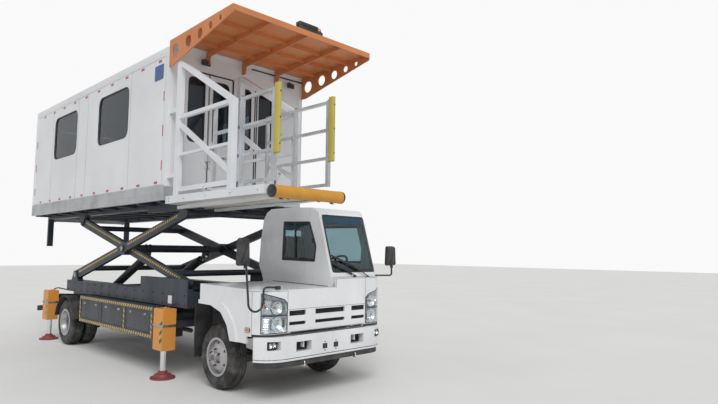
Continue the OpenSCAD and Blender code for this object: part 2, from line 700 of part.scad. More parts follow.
// Door of the cab, on the left
door_gap = 6;
module cab_door() color(white) from_axle() {
    difference() {
        along_y(half_cab - 44, half_cab) polygon([[door_ends[0] + door_gap, 1090 + door_gap],
            [door_ends[0] + door_gap, 2190 - door_gap], [597, 2170 - door_gap],
            [door_ends[1] - door_gap, 1788], [door_ends[1] - door_gap, side_bottom + 16],
            [496, side_bottom + 16], [410, 856], [268, 997], [35, 1065], [-200, 1096]]);
        along_y(half_cab - 46, half_cab + 1) polygon([[door_ends[0] + 75, 1560], [door_ends[0] + 75, 2105],
            [560, 2090], [door_ends[1] - 70, 1770], [door_ends[1] - 70, 1560]]);
        // Pocket on the inner side
        along_y(half_cab - 46, half_cab - 14) polygon([[door_ends[0] + 60, 1150],
            [door_ends[0] + 60, 1500], [door_ends[1] - 70, 1500], [door_ends[1] - 70, 1080], [250, 1130]]);
        // Recess of the handle
        block([-230, half_cab - 10, 1440], [-90, half_cab + 1, 1490]);
    }
    for (z = cab_hinges) door_hinge(z, 41 - seat_gap, -1);
}

// Mirrors on bent tubes: the right one hangs in a half circle from the wing, the left one is an L
mirror_foot = [805, 22, 1235];
mirror_turn = 37.6;
mirror_reach = 360;
mirror_bend_z = 1171;
mirror_tube_r = 11;
mirror_head = [70, 165, 280];
mirror_head_x = 1055;
mirror_head_z = 1590;
left_mirror_z = 1396;
left_mirror_end = [975, 1264];
module mirror_boss(z) pin_y(mirror_foot[0], z, 24, half_cab + seat_gap, half_cab + mirror_foot[1] + 8);
module mirrors() color(black) from_axle() {
    mirror([0, 1, 0]) {
        mirror_boss(mirror_foot[2]);
        translate([mirror_foot[0], half_cab + mirror_foot[1], 0]) rotate([0, 0, mirror_turn]) {
            translate([0, 0, mirror_bend_z]) cylinder(r = mirror_tube_r, h = mirror_foot[2] - mirror_bend_z);
            translate([mirror_reach / 2, 0, mirror_bend_z]) rotate([90, 0, 0]) rotate([0, 0, 180])
                rotate_extrude(angle = 180) translate([mirror_reach / 2, 0]) circle(r = mirror_tube_r);
            translate([mirror_reach, 0, mirror_bend_z])
                cylinder(r = mirror_tube_r, h = mirror_head_z - mirror_bend_z + 20);
        }
        translate([mirror_head_x, half_cab + 168, mirror_head_z]) cube(mirror_head);
    }
    mirror_boss(left_mirror_z);
    arm = left_mirror_end - [mirror_foot[0], half_cab + mirror_foot[1]];
    translate([mirror_foot[0], half_cab + mirror_foot[1], left_mirror_z]) rotate([0, 0, atan2(arm[1], arm[0])])
        rotate([0, 90, 0]) cylinder(r = mirror_tube_r, h = norm(arm));
    translate([left_mirror_end[0], left_mirror_end[1], left_mirror_z]) {
        // Elbow, with the tube that carries the head
        translate([0, 0, -16]) cylinder(r = 16, h = 32);
        cylinder(r = mirror_tube_r, h = 150);
        translate([-35, -110, 136]) cube([70, 200, 274]);
    }
}

// Steering: knuckles with their arms, and the rod between them

arm_reach = [-165, 0];
rod_z = tyre_r - 105;
module knuckle() {
    for (z = [[tyre_r - 95, tyre_r - 48 - seat_gap], [tyre_r + 48 + seat_gap, tyre_r + 95]])
        translate([0, kingpin_y, z[0]]) cylinder(r = 42, h = z[1] - z[0]);
    translate([0, kingpin_y, tyre_r - 95]) cylinder(r = 20, h = 190);
    block([-42, kingpin_y + 47, tyre_r - 95], [42, kingpin_y + 62, tyre_r + 95]);
    block([-42, kingpin_y, tyre_r - 95], [42, kingpin_y + 50, tyre_r - 48 - seat_gap]);
    block([-42, kingpin_y, tyre_r + 48 + seat_gap], [42, kingpin_y + 50, tyre_r + 95]);
    pin_y(0, tyre_r, spindle_r, kingpin_y + 60, front_tyre_y + dish + 20);
    pin_y(0, tyre_r, 150, kingpin_y + 62, kingpin_y + 74);
    // Steering arm, with the ball pin of the rod
    difference() {
        linear_arm();
        translate([arm_reach[0], kingpin_y - arm_reach[1], rod_z - 60]) cylinder(r = 12 + fit, h = 120);
    }
}
module linear_arm() translate([0, 0, rod_z + 14]) linear_extrude(24) polygon([[-30, kingpin_y + 40],
    [30, kingpin_y + 40], [30, kingpin_y], [arm_reach[0] + 30, kingpin_y - arm_reach[1] - 26],
    [arm_reach[0] - 28, kingpin_y - arm_reach[1] - 26], [arm_reach[0] - 28, kingpin_y - arm_reach[1] + 26]]);
module knuckle_left() color(dark) from_axle() knuckle();
module knuckle_right() color(dark) from_axle() mirror([0, 1, 0]) knuckle();

module tie_rod() color(steel) from_axle() translate([arm_reach[0], 0, 0]) {
    pin_y(0, rod_z - 16, 18, -kingpin_y + arm_reach[1], kingpin_y - arm_reach[1]);
    both_sides() translate([0, kingpin_y - arm_reach[1], 0]) {
        translate([0, 0, rod_z - 38]) cylinder(r = 28, h = 38 + 14 - seat_gap);
        translate([0, 0, rod_z]) cylinder(r = 12, h = 30);
    }
}

// Wheels

tyre_profile = [[bead_r, -tyre_w / 2 + 22], [bead_r + 25, -tyre_w / 2 + 8], [bead_r + 75, -tyre_w / 2],
    [tyre_r - 60, -tyre_w / 2 + 2], [tyre_r - 22, -tyre_w / 2 + 14], [tyre_r - 5, -tyre_w / 2 + 34],
    [tyre_r, -50], [tyre_r, 50], [tyre_r - 5, tyre_w / 2 - 34], [tyre_r - 22, tyre_w / 2 - 14],
    [tyre_r - 60, tyre_w / 2 - 2], [bead_r + 75, tyre_w / 2], [bead_r + 25, tyre_w / 2 - 8],
    [bead_r, tyre_w / 2 - 22]];
module tyre(y) translate([0, y, tyre_r]) rotate([-90, 0, 0]) rotate_extrude($fn = 72) polygon(tyre_profile);

// Rim: the well, and a dished disc whose mounting face lies dish away from the tyre's middle
rim_half = tyre_w / 2 - 8;
disc_t = 10;
disc_flat = 118;
hole_count = 6;
module rim(y, dish) translate([0, y, tyre_r]) rotate([-90, 0, 0]) mirror([0, 0, dish < 0 ? 1 : 0]) {
    face = abs(dish);
    difference() {
        rotate_extrude($fn = 72) {
            polygon([[bead_r - seat_gap, -rim_half], [bead_r + 16, -rim_half],
                [bead_r + 16, -rim_half - 6], [bead_r - 12, -rim_half - 6], [bead_r - 16, -rim_half + 20],
                [bead_r - 30, -20], [bead_r - 30, 20], [bead_r - 16, rim_half - 20], [bead_r - 12, rim_half + 6],
                [bead_r + 16, rim_half + 6], [bead_r + 16, rim_half], [bead_r - seat_gap, rim_half],
                [bead_r - seat_gap, 50], [bead_r - 20, 20], [bead_r - 20, -20], [bead_r - seat_gap, -50]]);
            // Dished disc from the well out to its flat
            polygon([[bead_r - 25, face - 95], [bead_r - 25, face - 60], [disc_flat + 34, face - 22],
                [disc_flat, face], [hub_hole_r, face], [hub_hole_r, face - disc_t],
                [disc_flat - 6, face - disc_t], [disc_flat + 24, face - 32], [bead_r - 36, face - 72],
                [bead_r - 36, face - 95]]);
        }
        // Hand holes in the slope of the disc
        for (i = [0:hole_count - 1]) rotate([0, 0, (i + 0.5) * 360 / hole_count])
            translate([disc_flat + 30, 0, face - 70]) rotate([0, 35, 0]) cylinder(r = 17, h = 70);
    }
}

// Hub of a front wheel: bore on the spindle, flange for the disc
module hub(y0, y1, disc_y) difference() {
    union() {
        pin_y(0, tyre_r, 75, y0, disc_y);
        pin_y(0, tyre_r, hub_hole_r - 2, disc_y - 1, y1 - 14);
        pin_y(0, tyre_r, hub_hole_r - 12, y1 - 14, y1);
        pin_y(0, tyre_r, 108, disc_y - 14, disc_y);
    }
    pin_y(0, tyre_r, spindle_r + fit, y0 - 1, y1 - 12);
}
hub_hole_r = 70;
// How far the face of a disc lies from the middle of its tyre
dish = twin_gap / 2;
module front_rim() {
    rim(front_tyre_y, dish);
    hub(kingpin_y + 80, front_tyre_y + dish + 42, front_tyre_y + dish - disc_t);
}
module tyre_front_left() color(black) from_axle() tyre(front_tyre_y);
module tyre_front_right() color(black) from_axle() mirror([0, 1, 0]) tyre(front_tyre_y);
module rim_front_left() color(steel) from_axle() front_rim();
module rim_front_right() color(steel) from_axle() mirror([0, 1, 0]) front_rim();

// A rear pair: both discs meet at the hub's flange between the tyres
module rear_rims() translate([-wheelbase, 0, 0]) {
    rim(rear_tyre_y, -dish);
    rim(rear_tyre_y - twin_gap, dish);
    hub(rear_tyre_y - twin_gap - 40, rear_tyre_y + 20, rear_tyre_y - dish - disc_t);
}
module rear_tyres() translate([-wheelbase, 0, 0]) {
    tyre(rear_tyre_y);
    tyre(rear_tyre_y - twin_gap);
}
module tyres_rear_left() color(black) from_axle() rear_tyres();
module tyres_rear_right() color(black) from_axle() mirror([0, 1, 0]) rear_tyres();
module rims_rear_left() color(steel) from_axle() rear_rims();
module rims_rear_right() color(steel) from_axle() mirror([0, 1, 0]) rear_rims();

// Scissor arms

arm_rise = arm_l * sin(arm_angle);
arm_run = arm_l * cos(arm_angle);
top_z = pivot_z + arm_rise;
front_x = -pivot_x + arm_run;
mid = [-pivot_x + arm_run / 2, pivot_z + arm_rise / 2];
inner_y = arm_y - arm_w - 10;
// One arm from its rear end to its front end, with its three bores
module arm(rear, front, y_out, bores) difference() {
    along_y(y_out - arm_w, y_out) union() {
        translate(rear) circle(arm_h / 2);
        translate(front) circle(arm_h / 2 - 20);
        translate(mid) circle(arm_h / 2 + 25);
        polygon([rear + up_of(rear, front), front + up_of(rear, front) * 0.75,
            front - up_of(rear, front) * 0.75, rear - up_of(rear, front)]);
    }
    for (b = bores) pin_y(b[0], b[1], pin_r + fit, y_out - arm_w - 1, y_out + 1);
}
function up_of(a, b) = [a[1] - b[1], b[0] - a[0]] / norm(b - a) * arm_h / 2;

// Pin of the lift cylinder's rod, below the middle pin
lug = mid + lug_l * [-sin(arm_angle), -cos(arm_angle)];
across = [cos(arm_angle), -sin(arm_angle)];
tie_at = 0.13;
function on_arm(a, b, t) = a + (b - a) * t;
module outer_arms() color(dark) from_axle() {
    rear = [-pivot_x, pivot_z];
    front = [front_x, top_z];
    both_sides() {
        arm(rear, front, arm_y, [mid]);
        // Rear pin in the ears of the base
        pin_y(rear[0], rear[1], pin_r, arm_y - arm_w - 20, arm_y + 20);
        // Roller inside the arm's front end
        pin_y(front[0], front[1], roller_r, arm_y - 2 * arm_w + 2, arm_y - arm_w - 5);
        pin_y(front[0], front[1], pin_r, arm_y - arm_w - 6, arm_y - arm_w + 1);
    }
    tie = on_arm(rear, front, tie_at);
    pin_y(tie[0], tie[1], 45, -arm_y + 1, arm_y - 1);
    // Tube between the rollers
    pin_y(front[0], front[1], pin_r, -arm_y + 1, arm_y - 1);
}

mid_r = 62;
module inner_arms() color(dark) from_axle() {
    rear = [-pivot_x, top_z];
    front = [front_x, pivot_z];
    both_sides() {
        arm(rear, front, inner_y, []);
        pin_y(rear[0], rear[1], pin_r, inner_y - arm_w - 16, inner_y + 14);
        // Roller outside the arm's front end
        pin_y(front[0], front[1], roller_r, inner_y + 12, inner_y + arm_w + 5);
        pin_y(front[0], front[1], pin_r, inner_y - 1, inner_y + 13);
        // Middle pin, which the outer arm turns on
        pin_y(mid[0], mid[1], pin_r, inner_y - 1, arm_y + 12);
        pin_y(mid[0], mid[1], 52, arm_y + seat_gap, arm_y + 16);
        // Cheeks for the eye of the lift cylinder
        for (s = [-1, 1]) along_y(cyl_y + s * 34 - 8, cyl_y + s * 34 + 8) {
            translate(mid) circle(mid_r + 12);
            translate(lug) circle(50);
            polygon([mid + across * 60, lug + across * 50, lug - across * 50, mid - across * 60]);
        }
        for (s = [-1, 1]) pin_y(lug[0], lug[1], 26, cyl_y + s * 46 - 6, cyl_y + s * 46 + 6);
    }
    pin_y(mid[0], mid[1], mid_r, -inner_y + 1, inner_y - 1);
    tie = on_arm(rear, front, tie_at);
    pin_y(tie[0], tie[1], 45, -inner_y + 1, inner_y - 1);
    tie_front = on_arm(rear, front, 1 - tie_at);
    pin_y(tie_front[0], tie_front[1], 45, -inner_y + 1, inner_y - 1);
}

// Lift cylinders

cyl_vec = lug - [foot_x, foot_z];
cyl_len = norm(cyl_vec);
cyl_angle = atan2(cyl_vec[1], cyl_vec[0]);
barrel_l = cyl_len - 150;
module along_cylinder() both_sides() translate([foot_x, cyl_y, foot_z]) rotate([0, 90 - cyl_angle, 0])
    children();
module cylinder_barrels() color(dark) from_axle() {
    both_sides() pin_y(foot_x, foot_z, pin_r, cyl_y - 62, cyl_y + 62);
    along_cylinder() difference() {
        union() {
            rotate([90, 0, 0]) translate([0, 0, -42]) cylinder(r = 50, h = 84);
            cylinder(r = 40, h = 80);
            translate([0, 0, 75]) cylinder(r = barrel_r, h = barrel_l - 75);
            translate([0, 0, barrel_l - 60]) cylinder(r = barrel_r + 8, h = 60);
        }
        translate([0, 0, 150]) cylinder(r = rod_r + 12, h = barrel_l - 210);
        translate([0, 0, barrel_l - 61]) cylinder(r = rod_r + fit, h = 62);
    }
}
// The eye stands between the cheeks of the inner arms
module cylinder_rods() color(steel) from_axle() along_cylinder() {
    translate([0, 0, 520]) cylinder(r = rod_r, h = cyl_len - 95 - 520);
    translate([-33, -23, cyl_len - 100]) cube([66, 46, 100]);
    translate([0, 0, 520]) cylinder(r = rod_r + 11, h = 60);
    translate([0, 24, cyl_len]) rotate([90, 0, 0]) cylinder(r = 45, h = 48);
}

// Van body

half_in = half_van - wall_t;
floor_under = van_bottom + 40;
track_x = [-2100, -640];
module van_underframe() color(dark) from_axle() {
    both_sides() {
        // Long beam with the rollers' running face below it
        block([-van_rear + 60, 720, van_bottom - 60], [-van_front - 30, 890, floor_under - seat_gap]);
        block([track_x[0], inner_y - arm_w - 6, top_z + roller_r + 0.5],
            [track_x[1], inner_y + 6, van_bottom - 60]);
        // Ears for the inner arms' rear pins
        for (y = [[inner_y - arm_w - 18, inner_y - arm_w - 6], [inner_y + 6, inner_y + 18]]) difference() {
            along_y(y[0], y[1]) polygon(concat([[-pivot_x + 160, van_bottom - 60]],
                arc([-pivot_x, top_z], 70, -20, -160, 8), [[-pivot_x - 160, van_bottom - 60]]));
            pin_y(-pivot_x, top_z, pin_r + fit, y[0] - 1, y[1] + 1);
        }
    }
    for (i = [0:8]) translate([-van_rear + 100 + i * (van_l - 360) / 8, 0, 0])
        block([0, -half_van + 40, van_bottom - 20], [80, half_van - 40, floor_under - seat_gap]);
}

// Rear posts with the tracks of the tail lift
module rear_posts() color(dark) from_axle() both_sides() difference() {
    block([-van_rear - 70, tail_w / 2 + 14, 1780], [-van_rear, tail_w / 2 + 114, van_top + 60]);
    block([-van_rear - 55, tail_w / 2 + 13, 1779], [-van_rear - 15, tail_w / 2 + 64, van_top + 61]);
}

// Side windows: rear end and low edge
side_windows = [[-3450, 3450], [-5630, 3450]];
// Panes of the front wall beside the doors: low y and width
front_panes = [[-50, 230], [330, 240]];
pane_z = [3270, 4210];
door_z = [2500, 4300];
leaf_w = 400;
doors_y = [-950, -150];
roof_t = 70;
roof_r = 28;
module van_shell() color(white) from_axle() {
    van_walls();
    for (z = leaf_hinges) {
        leaf_hinge(doors_y[0] + 1, z + 31, 30, -1);
        leaf_hinge(doors_y[1] - 1, z + 31, 30, 1);
    }
}
module van_walls() difference() {
    along_x(-van_rear, -van_front) polygon(concat([[half_van, van_bottom + sill_h]],
        arc([half_van - roof_r, van_top - roof_r], roof_r, 0, 90, 6),
        arc([-half_van + roof_r, van_top - roof_r], roof_r, 90, 180, 6), [[-half_van, van_bottom + sill_h]]));
    block([-van_rear + wall_t, -half_in, van_bottom + sill_h - 1], [-van_front - wall_t, half_in, van_top - roof_t]);
    for (w = side_windows) translate([w[0], 0, w[1]])
        both_sides() along_y(half_in - 1, half_van + 1) rounded(window_size, window_r);
    // Doorway and fixed panes of the front wall
    block([-van_front - wall_t - 1, doors_y[0], van_bottom + sill_h - 1], [-van_front + 1, doors_y[1], door_z[1]]);
    for (p = front_panes) translate([0, p[0], pane_z[0]])
        along_x(-van_front - wall_t - 1, -van_front + 1) rounded([p[1], pane_z[1] - pane_z[0]], 60);
    // Rear doorway
    block([-van_rear - 1, -tail_w / 2 + 60, van_bottom + sill_h - 1], [-van_rear + wall_t + 1, tail_w / 2 - 60, 4250]);
}

// Floor with the aluminium rails along its sides
module side_rails() color(steel) from_axle() {
    block([-van_rear, -half_van + 6, floor_under], [-van_front, half_van - 6, van_bottom + sill_h - seat_gap]);
    both_sides() difference() {
        block([-van_rear, half_van - 40, van_bottom], [-van_front, half_van + 8, van_bottom + sill_h - seat_gap]);
        block([-van_rear - 1, half_van + 2, van_bottom + 78], [-van_front + 1, half_van + 9, van_bottom + 90]);
    }
}

module van_windows() color(glass) from_axle() {
    for (w = side_windows) translate([w[0] + seat_gap, 0, w[1] + seat_gap])
        both_sides() along_y(half_van - 22, half_van - 16) rounded(window_size - [2, 2] * seat_gap, window_r);
    for (p = front_panes) translate([0, p[0] + seat_gap, pane_z[0] + seat_gap])
        along_x(-van_front - 22, -van_front - 16) rounded([p[1], pane_z[1] - pane_z[0]] - [2, 2] * seat_gap, 60);
}

// Rear shutter of level slats
module rear_shutter() color([0.7, 0.71, 0.72]) from_axle() for (i = [0:15])
    block([-van_rear + 12, -tail_w / 2 + 60 + seat_gap, van_bottom + sill_h + seat_gap + i * slat_h],
        [-van_rear + 34 + 4 * (i % 2), tail_w / 2 - 60 - seat_gap, van_bottom + sill_h + (i + 1) * slat_h]);
slat_h = 103;

// Front doors: two glazed leaves that swing into the van
leaf_hinges = [2800, 3400, 4050];
leaf_axis_x = -van_front - wall_t - 7;
// Half a hinge on the line of the pin; towards is the side its leaf lies on
module leaf_hinge(y, z, h, towards) translate([leaf_axis_x, y, z]) {
    difference() {
        cylinder(r = 7, h = h);
        if (towards == 0) translate([0, 0, 4]) cylinder(r = 4 + fit, h = h);
    }
    if (towards != 0) translate([0, 0, -h + 8]) cylinder(r = 4, h = h);
    if (towards != 0) translate([-6, towards > 0 ? 0 : -30, 0]) cube([13, 30, h]);
}
module leaf(y0, axis_y, inwards) {
    difference() {
        block([-van_front - wall_t + 6, y0 + 4, door_z[0] + 96], [-van_front - 6, y0 + leaf_w - 4, door_z[1] - 6]);
        translate([0, y0 + 70, pane_z[0]]) along_x(-van_front - wall_t, -van_front)
            rounded([leaf_w - 140, pane_z[1] - pane_z[0]], 60);
    }
    for (z = leaf_hinges) {
        leaf_hinge(axis_y, z, 31 - seat_gap, 0);
        // Leaf of the hinge, screwed to the door
        block([leaf_axis_x - 4, axis_y + (inwards > 0 ? 5 : -30), z],
            [-van_front - wall_t + 7, axis_y + (inwards > 0 ? 30 : -5), z + 31 - seat_gap]);
    }
}
module door_leaf_right() color(white) from_axle() leaf(doors_y[0], doors_y[0] + 1, 1);
module door_leaf_left() color(white) from_axle() leaf(doors_y[0] + leaf_w, doors_y[1] - 1, -1);

// Platform at the front of the van, with its trusses

platform_in = -platform_y + platform_w;
rail_z = floor_z + rail_above;
truss_y = [-platform_y + truss_t / 2, platform_in - truss_t / 2];
module front_platform() color(white) from_axle() {
    // Floor plate, edge beams and ribs
    block([-van_front + seat_gap, -platform_y, floor_z - 12], [platform_front, platform_in, floor_z]);
    block([-van_front + 40, -platform_y + 150, floor_z - 1], [platform_front - 40, platform_in - 150, floor_z + 3]);
    for (y = [-platform_y, platform_in - 60]) block([-van_front + seat_gap, y, floor_z - edge_h],
        [platform_front, y + 60, floor_z - 6]);
    for (x = [platform_front - 60, 780, 330, -120, -570, -van_front + seat_gap])
        block([x, -platform_y + 30, floor_z - edge_h], [x + 60, platform_in - 30, floor_z - 6]);
    // Lower beams that carry the platform from the van's underframe
    for (y = [-platform_y + 190, platform_in - 260]) along_y(y, y + 70)
        polygon([[-van_front - 25, 2290], [-van_front - 25, floor_z - 120], [platform_front - 60, floor_z - 20],
            [platform_front - 60, floor_z - 130], [200, 2300]]);
    // Side trusses
    for (y = truss_y) {
        block([post_x - truss_t / 2, y - truss_t / 2, floor_z - 10], [post_x + truss_t / 2, y + truss_t / 2, rail_z]);
        block([-790, y - truss_t / 2, floor_z - 10], [-790 + truss_t, y + truss_t / 2, 4300]);
        strut([-720, 4260], [post_x, rail_z - 20], y, 70, 60);
        strut([-750, rail_z - 25], [post_x, rail_z - 25], y, 50, 50);
        strut([-750, 3430], [post_x, 2640], y, 60, 50);
        strut([-750, 3000], [post_x, 3000], y, 36, 36);
        strut([-750, floor_z + 80], [post_x, floor_z + 80], y, 60, 30);
        // Feet of the posts that hold the truss to the wall
        block([-van_front + seat_gap, y - 30, 3600], [-780, y + 30, 3660]);
        block([-van_front + seat_gap, y - 30, 2700], [-780, y + 30, 2760]);
    }
}

// Handrails that slide out along the platform's sides

slide_in = truss_t / 2 + 12 + 22;
handrail_x = [645, 1275];
rail_levels = [floor_z + 70, floor_z + 395, floor_z + 740, rail_z - 10];
module handrail(y) {
    for (x = handrail_x) block([x - 22, y - 22, rail_levels[0] - 22], [x + 22, y + 22, rail_levels[3] + 22]);
    for (z = rail_levels) block([post_x - 520, y - 18, z - 18], [handrail_x[1], y + 18, z + 18]);
    block([post_x - 540, y - 20, rail_levels[0] - 18], [post_x - 500, y + 20, rail_levels[3] + 18]);
    // Backing of the rubber strip at the front post
    block([handrail_x[1] + 21, y - 16, floor_z + 360], [handrail_x[1] + 60, y + 16, rail_z + 40]);
    // Shoe that runs on the floor
    block([handrail_x[0] - 100, y - 22, floor_z + seat_gap], [handrail_x[0] + 100, y + 22, rail_levels[0] - 17]);
}
module handrail_right() color(steel) from_axle() handrail(truss_y[0] + slide_in);
module handrail_left() color(steel) from_axle() handrail(truss_y[1] - slide_in);

module bumper_roll() color([0.9, 0.6, 0.15]) from_axle() {
    pin_y(roll_x, floor_z - 80, roll_r, -platform_y + 10, platform_in + 50);
    for (y = [-platform_y + 120, platform_in - 160]) block([platform_front + seat_gap, y, floor_z - 105],
        [roll_x - 20, y + 60, floor_z - 55]);
}

// Canopy: sheet, pierced sides and ribs

canopy_back = -van_front + seat_gap;
// Pierced holes of a side: x, z, radius
side_holes = [[-830, 4460, 95], [-490, 4500, 85], [-190, 4530, 70], [70, 4565, 50], [300, 4598, 35]];
canopy_side = [[canopy_back, canopy_z], [canopy_front, canopy_z + canopy_rise], [canopy_front, 4590],
    [480, 4570], [-880, 4270], [canopy_back, 4270]];
module canopy() color(orange) from_axle() {
    both_sides() difference() {
        along_y(half_van - canopy_t, half_van) polygon(canopy_side);
        for (h = side_holes) pin_y(h[0], h[1], h[2], half_van - canopy_t - 1, half_van + 1);
    }
    along_y(-half_van + 1, half_van - 1) polygon([[canopy_back, canopy_z - canopy_t], [canopy_back, canopy_z],
        [canopy_front, canopy_z + canopy_rise], [canopy_front, canopy_z + canopy_rise - canopy_t]]);
    // Ribs: three from the wall forwards, each ending in a deep tab, and four across
    for (y = [-620, 0, 620]) along_y(y - 6, y + 6) polygon([[canopy_back, canopy_z - 5],
        [canopy_front, canopy_z + canopy_rise - 5], [canopy_front, canopy_z + canopy_rise - 75],
        [-880, canopy_z - 110], [-900, 4420], [canopy_back, 4420]]);
    for (x = [-640, -260, 120, canopy_front - 8]) block([x, -half_van + 2, rise_at(x) - 75], [x + 8, half_van - 2, rise_at(x) - 5]);
}
function rise_at(x) = canopy_z + canopy_rise * (x - canopy_back) / (canopy_front - canopy_back);

// Lamps: a beacon on the canopy's edge and floodlights on the wall under it
module canopy_lights() color(black) from_axle() {
    translate([canopy_front - 130, 70, canopy_z + canopy_rise + 0]) {
        translate([0, -210, seat_gap]) cube([110, 420, 60]);
        translate([55, 0, 50]) cylinder(r = 55, h = 70);
        for (y = [-150, 150]) translate([55, y, 50]) cylinder(r = 42, h = 50);
    }
    for (y = [-660, 920]) block([-van_front + seat_gap, y - 70, 4330], [-van_front + 60, y + 70, 4400]);
}

// Tail lift

carriage_z = [2300, 3300];
tail_x = -van_rear - 35;
module tail_lift_carriage() color(steel) from_axle() {
    both_sides() {
        block([tail_x - 20 + seat_gap, tail_w / 2 + 14, carriage_z[0]],
            [tail_x + 20 - seat_gap, tail_w / 2 + 60, carriage_z[1]]);
        block([tail_x - 17, tail_w / 2 - 30, carriage_z[0]], [tail_x + 17, tail_w / 2 + 20, carriage_z[0] + 260]);
        // Ears for the platform's hinge
        difference() {
            block([tail_x - 75, tail_w / 2 - 30, carriage_z[0] - 10], [tail_x - 10, tail_w / 2 - 14, carriage_z[0] + 110]);
            pin_y(hinge_x, hinge_z, 16 + fit, tail_w / 2 - 31, tail_w / 2 - 13);
        }
    }
    block([tail_x - 10, -tail_w / 2 + 1 - 20, carriage_z[0]], [tail_x + 10, tail_w / 2 + 20, carriage_z[0] + 80]);
}
hinge_x = tail_x - 47;
hinge_z = carriage_z[0] + 50;
module tail_lift_platform() color(steel) from_axle() {
    difference() {
        block([hinge_x - tail_t / 2, -tail_w / 2 + 40, hinge_z - 20], [hinge_x + tail_t / 2 - 10, tail_w / 2 - 40, hinge_z + tail_d]);
        block([hinge_x - tail_t / 2 + 12, -tail_w / 2 + 90, hinge_z + 60], [hinge_x + tail_t, tail_w / 2 - 90, hinge_z + tail_d - 60]);
    }
    pin_y(hinge_x, hinge_z, 16, -tail_w / 2 + 14, tail_w / 2 - 14);
    pin_y(hinge_x, hinge_z, 27, -tail_w / 2 + 36, tail_w / 2 - 36);
}

chassis_frame();
front_axle();
rear_axle();
powertrain();
side_cabinets();
lift_base();
roller_tracks();
jack_arms();
jack_boxes();
mudguards();
front_bumper();
valance();
front_panel();
headlamps();
engine_deck();
cab_shell();
cab_glass();
cab_interior();
cab_seat();
mirrors();
knuckle_right();
knuckle_left();
tie_rod();
tyre_front_right();
tyre_front_left();
rim_front_right();
rim_front_left();
tyres_rear_right();
tyres_rear_left();
rims_rear_right();
rims_rear_left();
cab_door();
outer_arms();
inner_arms();
cylinder_barrels();
cylinder_rods();
van_underframe();
rear_posts();
van_shell();
side_rails();
van_windows();
front_platform();
bumper_roll();
canopy();
canopy_lights();
rear_shutter();
door_leaf_right();
door_leaf_left();
handrail_right();
handrail_left();
jack_leg_front_right();
jack_leg_front_left();
jack_leg_rear_right();
jack_leg_rear_left();
tail_lift_carriage();
tail_lift_platform();
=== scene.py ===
# %% [markdown]
# # An aircraft passenger lift truck
#
# The machine is a light truck with half a cab, a scissor lift and a van body that
# rises to an aircraft's door. Its construction comes in as a fixed model, so this lesson
# adds the looks: the paint, the glass, the rubber, and the small pieces that a
# photograph shows on the real thing.

# %% Load the construction
import json
import math

import bmesh
import bpy
import numpy as np
from mathutils import Matrix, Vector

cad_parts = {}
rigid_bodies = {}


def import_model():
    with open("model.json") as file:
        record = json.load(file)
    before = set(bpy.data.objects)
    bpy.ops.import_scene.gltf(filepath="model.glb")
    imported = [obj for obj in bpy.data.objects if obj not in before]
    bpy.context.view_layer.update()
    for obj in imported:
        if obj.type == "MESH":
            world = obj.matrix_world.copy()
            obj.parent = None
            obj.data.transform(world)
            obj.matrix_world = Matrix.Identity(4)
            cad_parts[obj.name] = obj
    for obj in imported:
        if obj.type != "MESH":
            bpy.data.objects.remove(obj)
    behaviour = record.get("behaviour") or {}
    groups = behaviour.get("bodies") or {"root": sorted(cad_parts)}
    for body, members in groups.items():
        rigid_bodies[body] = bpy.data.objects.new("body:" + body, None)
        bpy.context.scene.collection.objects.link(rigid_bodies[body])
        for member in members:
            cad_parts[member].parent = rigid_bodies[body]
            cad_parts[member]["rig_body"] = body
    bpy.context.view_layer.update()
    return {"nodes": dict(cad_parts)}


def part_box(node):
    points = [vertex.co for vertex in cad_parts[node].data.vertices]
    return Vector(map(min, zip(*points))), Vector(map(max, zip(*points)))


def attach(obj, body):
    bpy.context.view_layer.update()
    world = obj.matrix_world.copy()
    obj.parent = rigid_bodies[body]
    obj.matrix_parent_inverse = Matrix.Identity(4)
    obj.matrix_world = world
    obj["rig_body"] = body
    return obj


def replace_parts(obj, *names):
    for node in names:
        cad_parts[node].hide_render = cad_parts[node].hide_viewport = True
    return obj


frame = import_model()

# %% [markdown]
# Every place below is a distance in metres from the front axle: x forwards, y to the
# machine's left, z up from the ground. The model itself counts from its own middle, so
# one number, the axle's place, is added when a mesh is written. The main places are read
# from the model, so that the new pieces follow it. A name in capitals is a place or a size
# that stays fixed.

# %% Places read from the model
_low, _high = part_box("tyre_front_left")
AXLE_X = (_low[0] + _high[0]) / 2
SHIFT = np.array([AXLE_X, 0, 0])


def node_box(name):
    """Lowest and highest corner of a node, counted from the front axle."""
    low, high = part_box(name)
    return np.array(low) - SHIFT, np.array(high) - SHIFT


TYRE_LOW, TYRE_HIGH = node_box("tyre_front_left")
TYRE_R, TYRE_W = (TYRE_HIGH[2] - TYRE_LOW[2]) / 2, TYRE_HIGH[1] - TYRE_LOW[1]
FRONT_TYRE_Y = (TYRE_LOW[1] + TYRE_HIGH[1]) / 2
REAR_LOW, REAR_HIGH = node_box("tyres_rear_left")
REAR_X = (REAR_LOW[0] + REAR_HIGH[0]) / 2
REAR_TYRES_Y = (REAR_HIGH[1] - TYRE_W / 2, REAR_LOW[1] + TYRE_W / 2)
VAN_LOW, VAN_HIGH = node_box("van_shell")
VAN_FRONT, VAN_REAR, VAN_SIDE, VAN_TOP = VAN_HIGH[0], VAN_LOW[0], VAN_HIGH[1], VAN_HIGH[2]
CAB_FRONT, CAB_SIDE = node_box("front_panel")[1][:2]
SIDES = (("right", -1), ("left", 1))
print("axle at", round(AXLE_X, 4), "rear axle at", round(REAR_X, 3), "van top", round(VAN_TOP, 3))

# %% [markdown]
# ## The camera and the stage
#
# The photograph was taken low, from ahead of the truck and to its right. The lens and the
# turn of the camera were fitted to known edges of the machine. A pale floor, a soft sky
# and one wide lamp show the colours much as they are written.

